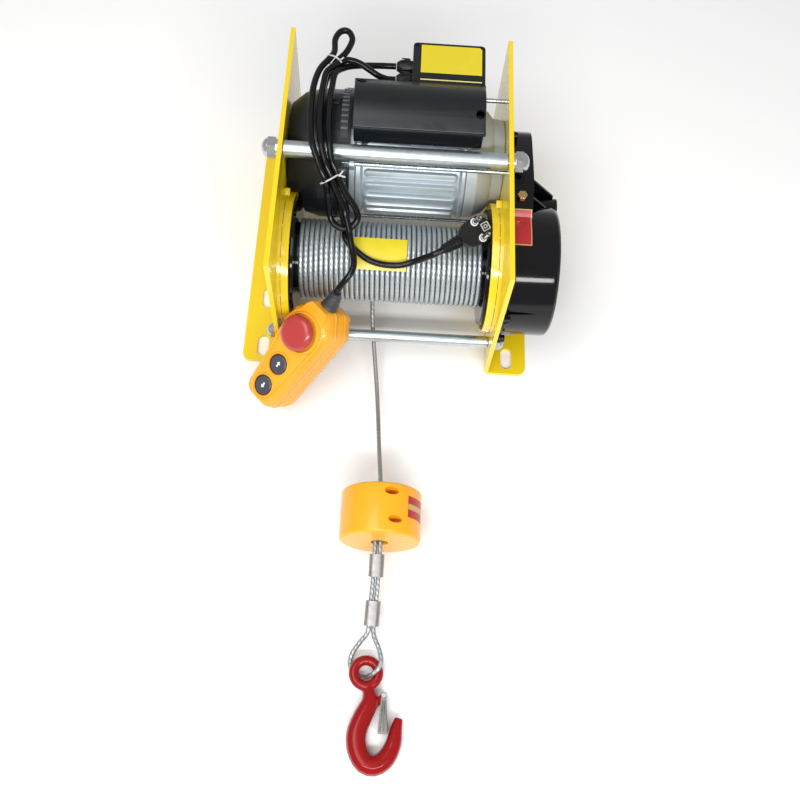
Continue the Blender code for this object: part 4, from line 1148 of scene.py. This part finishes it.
def cover_label():
    """A plain red label with a gold border, bent over the round cover and up the side of the gear case."""
    for name, mat, inset, lift in (("back", LABEL_GOLD, 0.0, 0.15), ("field", LABEL_RED, 1.0, 0.3)):
        outer = arc(DRUM, COVER_R + lift, 100.5 - inset, 76.0, 12)
        outer += arc(IDLER, TRAIN_R + lift, 133.0, 125.0 + inset, 6)
        inner = arc(DRUM, COVER_R - 1.0, 100.5 - inset, 76.0, 12)
        inner += arc(IDLER, TRAIN_R - 1.0, 133.0, 125.0 + inset, 6)
        bm = extrusion(outer + inner[::-1], 130.0 + inset, TRAIN_X - 0.6 - inset, "X")
        show(f"cover_label_{name}", bm, mat, "frame")


# ---- weight, hook and drum


def weight_look():
    """The moulded weight, with rounded edges, two countersunk holes and a plain label."""
    front, back = [corner.y for corner in corners("limit_weight")]
    place = (WEIGHT_X, WEIGHT_R)
    edge = 3.5
    bore, neck = 9.5, 6.5
    profile = [(front, bore)]
    profile += arc((front + edge, WEIGHT_R - edge), edge, 180, 90, 5)
    profile += arc((back - edge, WEIGHT_R - edge), edge, 90, 0, 5)
    profile += [(back, neck), (back - 22.0, neck), (back - 22.0, bore), (front, bore)]
    bm = lathe(profile, place, "Y", 96)
    weight = show("limit_weight_look", bm, ORANGE_PAINT, "weight", 30.0)
    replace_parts(weight, "limit_weight")
    holes = []
    top = 2 * WEIGHT_R + 1.0
    hole = [(top - 20.0, 0.0), (top - 20.0, 3.0), (top - 8.0, 4.2), (top, 5.6), (top, 0.0)]
    for x, y in ((10.5, -10.0), (15.5, -40.0)):
        oval = Matrix.Translation((WEIGHT_X + x, back + y, 0)) @ Matrix.Diagonal((1.5, 0.8, 1.0, 1.0))
        holes.append(turned_by(lathe(hole, (0, 0), "Z", 28), oval))
    carve(weight, holes)
    weight.data.shade_smooth()
    weight.data.set_sharp_from_angle(angle=math.radians(30.0))
    for name, mat, y0, y1, lift in (
        ("back", LABEL_RED, back - 35.0, back - 12.0, 0.10),
        ("stripe", LABEL_GOLD, back - 26.5, back - 20.5, 0.18),
    ):
        label = [(y0, WEIGHT_R), (y0, WEIGHT_R + lift), (y1, WEIGHT_R + lift), (y1, WEIGHT_R)]
        show(f"weight_label_{name}", lathe(label, place, "Y", 16, 36.0, 14.0), mat, "weight")


def hook_look():
    """The forging, with its joints blended, its latch and the latch's rivet."""
    bm = bmesh.new()
    bm.from_mesh(frame["nodes"]["hook"].data)
    hook = dress("hook_look", mesh_of(bm, "hook_look"), RED_PAINT, "hook", 80.0)
    even = hook.modifiers.new("even", "REMESH")
    even.mode = "VOXEL"
    even.voxel_size = 0.9 * MM
    even.use_smooth_shade = True
    soft = hook.modifiers.new("soft", "SMOOTH")
    soft.factor = 0.5
    soft.iterations = 14
    evaluated(hook)
    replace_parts(hook, "hook")
    refined("hook_latch", LATCH_ZINC, 0.35)
    ridges = []
    x, y = LATCH_PIVOT
    for foot in (-2.6, 1.2, 5.0):
        path = [(x + 0.25 * foot, y - 5.0, HOOK_Z + 6.0), (x + foot, y - 35.8, HOOK_Z + 6.0)]
        ridges.append(sweep(path, circle(0.85, 10)))
    show("latch_ridges", merged(ridges), LATCH_ZINC, "latch")
    rivet = []
    head = [(0.0, 0.0), (0.0, 2.2), (0.4, 2.7), (1.1, 2.7), (1.5, 2.2), (1.5, 0.0)]
    for z in (HOOK_Z - 7.6, HOOK_Z + 6.1):
        rivet.append(lathe([(z + rise, r) for rise, r in head], LATCH_PIVOT, "Z", 20))
    show("latch_rivet", merged(rivet), NUT_ZINC, "latch")


def drum_look():
    refined("rope_drum", BLACK_PAINT, 0.8, 3)
    wound_rope()
    rope_label()


# ---- pendant


def pendant_outline(grow):
    """The pendant from its buttons: narrow at the foot, wide at the stop button, sloping to the cable."""
    points = []
    for x, y, radius in ((10.0, -59.0, 13.0), (19.5, 40.0, 10.0), (11.0, 59.0, 5.0)):
        for side in (-1, 1):
            points += arc((side * x, y), radius + grow, 0, 360, 24)
    return hull(points)


def shell(levels):
    """A solid through outlines at several levels, each grown or drawn in by its own amount."""
    return skin([[(x, y, z) for x, y in resampled(pendant_outline(grow), 96)] for z, grow in levels])


def resampled(outline, count):
    """The same outline read at even angles round its middle."""
    points = []
    ends = list(zip(outline, outline[1:] + outline[:1]))
    for i in range(count):
        ray_x = math.cos(2 * math.pi * i / count)
        ray_y = math.sin(2 * math.pi * i / count)
        reach = 0.0
        for (ax, ay), (bx, by) in ends:
            ex, ey = bx - ax, by - ay
            cross = ray_x * ey - ray_y * ex
            if abs(cross) > TINY and -TINY <= (ax * ray_y - ay * ray_x) / cross <= 1 + TINY:
                reach = max(reach, (ax * ey - ay * ex) / cross)
        points.append((ray_x * reach, ray_y * reach))
    return points


def on_pendant(name, bm, mat, body="frame", node_slot="orange_plastic", sharp=50.0):
    return show(name, bm, mat, body, sharp, PENDANT)


def raised(profile):
    """A profile given from the pendant's face, as levels from its middle plane."""
    return [(PENDANT_HALF + rise, radius) for rise, radius in profile]


def pendant_look():
    levels = [(3.3, -0.2), (4.2, 0.0), (12.0, -0.3)]
    levels += raised([(-7.0, -1.2), (-3.2, -2.8), (-1.0, -5.2), (0.0, -8.5)])
    front = on_pendant("pendant_front_look", shell(levels), ORANGE_SHELL)
    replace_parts(front, "pendant_front_shell")
    half = PENDANT_HALF
    levels = [(-half, -7.0), (1.2 - half, -4.0), (4.0 - half, -1.6), (9.0 - half, -0.4)]
    levels += [(2.0, 0.0), (3.0, -0.3)]
    back = on_pendant("pendant_back_look", shell(levels), ORANGE_SHELL)
    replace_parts(back, "pendant_back_shell")
    wells = []
    for y, radius in ((ESTOP_Y, 12.3), (UP_Y, 11.3), (DOWN_Y, 11.3)):
        well = raised([(-6.0, 0.0), (-6.0, radius), (9.0, radius), (9.0, 0.0)])
        wells.append(turned_by(lathe(well, (0.0, y), "Z", 40), PENDANT))
    carve(front, wells)
    pendant_ridges()
    stop_button()
    for body, y, way in (("up", UP_Y, 1), ("down", DOWN_Y, -1)):
        arrow_button(body, y, way)


def pendant_ridges():
    """The raised collars, the ridge that runs round the buttons, and the beads along the side walls."""
    collar = [(-1.0, 25.0), (1.6, 24.0), (3.2, 22.6), (3.2, 21.4), (-0.2, 20.9), (-0.2, 12.4), (-1.0, 12.4)]
    ridges = [lathe(raised(collar), (0.0, ESTOP_Y), "Z", 56)]
    collar = [(-0.8, 14.6), (0.6, 14.2), (1.4, 13.4), (1.4, 12.4), (-0.8, 11.5), (-1.5, 11.5)]
    ridges += [lathe(raised(collar), (0.0, y), "Z", 40) for y in (UP_Y, DOWN_Y)]
    loop = hull(arc((0.0, DOWN_Y), 16.4, 0, 360, 36) + arc((0.0, ESTOP_Y), 25.6, 0, 360, 48))
    ridges.append(hoop(loop, PENDANT_HALF - 0.9, circle(1.5, 10)))
    on_pendant("pendant_ridges", merged(ridges), ORANGE_SHELL, sharp=45.0)
    levels = ((9.0, -0.35), (-10.0, -0.55))
    beads = [hoop(pendant_outline(grow), z, circle(0.9, 8)) for z, grow in levels]
    on_pendant("pendant_beads", merged(beads), ORANGE_SHELL, sharp=45.0)


def hoop(outline, level, section):
    """A bead that runs once round an outline."""
    return sweep([(x, y, level) for x, y in [*outline, outline[0]]], section)


def stop_button():
    """The mushroom head with its neck."""
    profile = [(-6.0, 0.0), (-6.0, 11.7), (6.0, 11.7), (6.5, 18.6), (7.4, 19.8), (10.0, 20.0)]
    profile += [(12.6, 18.9), (14.2, 15.5), (14.7, 12.0), (15.0, 0.0)]
    stop = lathe(raised(profile), (0.0, ESTOP_Y), "Z", 64)
    stop = on_pendant("estop_button_look", stop, RED_SHELL, "estop", "red_button")
    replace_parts(stop, "estop_button")


def arrow_button(body, y, way):
    """A dished cap with an arrow that points to the cable or away from it, and its black bezel."""
    cap = [(-6.0, 0.0), (-6.0, 10.7), (0.4, 10.7), (1.3, 9.6), (1.5, 8.2), (0.9, 6.5), (0.7, 0.0)]
    cap = lathe(raised(cap), (0.0, y), "Z", 48)
    cap = on_pendant(f"{body}_button_look", cap, GREY_CAP, body, "grey_button")
    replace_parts(cap, f"{body}_button")
    bezel = lathe(raised([(-6.0, 10.8), (0.9, 10.8), (0.9, 11.45), (-6.0, 11.45)]), (0.0, y), "Z", 48)
    on_pendant(f"{body}_bezel", bezel, BEZEL, "frame", "grey_button")
    head = [(-2.7, 0.4), (2.7, 0.4), (0.0, 3.7)]
    stem = [(-1.0, -3.3), (1.0, -3.3), (1.0, 0.5), (-1.0, 0.5)]
    arrow = []
    for outline in (head, stem):
        outline = [(a, y + way * b) for a, b in outline]
        arrow.append(extrusion(outline, PENDANT_HALF + 0.5, PENDANT_HALF + 1.0))
    on_pendant(f"{body}_arrow", merged(arrow), WHITE_MARK_AND_HIGHLIGHT, body, "grey_button")


# ---- inside pieces


def inside_look():
    """Pieces that the covers hide keep their solids and get their own finishes."""
    finishes = {
        CORE: ("stator_core", "brake_magnet"),
        COPPER: ("stator_winding",),
        STEEL: ("rotor_shaft", "drum_shaft", "drum_gear", "idler_gear", "idler_shaft"),
        NUT_ZINC: ("motor_bearing_front", "motor_bearing_rear", "drum_bearing_left", "drum_bearing_right"),
        LINING: ("brake_disc",),
        FAN_PLASTIC: ("cooling_fan",),
        CAN: ("run_capacitor",),
    }
    for mat, nodes in finishes.items():
        for node in nodes:
            materials = frame["nodes"][node].data.materials
            materials.clear()
            materials.append(mat)


# ---- studio


def floor():
    look = Finish("floor", (0.94, 0.94, 0.94), 0.6)
    look.tint(look.span(look.noise(400.0), 0.4, 0.7, 0.0, 0.15), (0.91, 0.91, 0.91))
    bm = bmesh.new()
    bmesh.ops.create_grid(bm, x_segments=4, y_segments=4, size=3.0)
    mesh = mesh_of(bm, "floor")
    mesh.materials.append(look.mat)
    linked("floor", mesh)


def lamp(name, place, target, size, power):
    data = bpy.data.lights.new(name, "AREA")
    data.shape = "RECTANGLE"
    data.size, data.size_y = size
    data.energy = power
    way = Vector(target) - Vector(place)
    turn = way.to_track_quat("-Z", "Y").to_matrix().to_4x4()
    linked(name, data).matrix_world = Matrix.Translation(place) @ turn


def studio():
    scene = bpy.context.scene
    world = bpy.data.worlds.new("studio")
    world.use_nodes = True
    background = world.node_tree.nodes["Background"]
    background.inputs["Color"].default_value = (1.0, 1.0, 1.0, 1.0)
    background.inputs["Strength"].default_value = 0.5
    scene.world = world
    scene.view_settings.view_transform = "Standard"
    lamp("key", (-0.7, -0.3, 1.9), (0.0, 0.0, 0.1), (1.3, 1.3), 18.0)
    lamp("front", (0.15, -1.15, 1.3), (0.1, 0.05, 0.1), (1.6, 0.2), 24.0)
    floor()


camera()
cords()
free_rope()
frame_look()
motor_look()
boxes_look()
gearbox_look()
drum_look()
weight_look()
hook_look()
pendant_look()
inside_look()
studio()
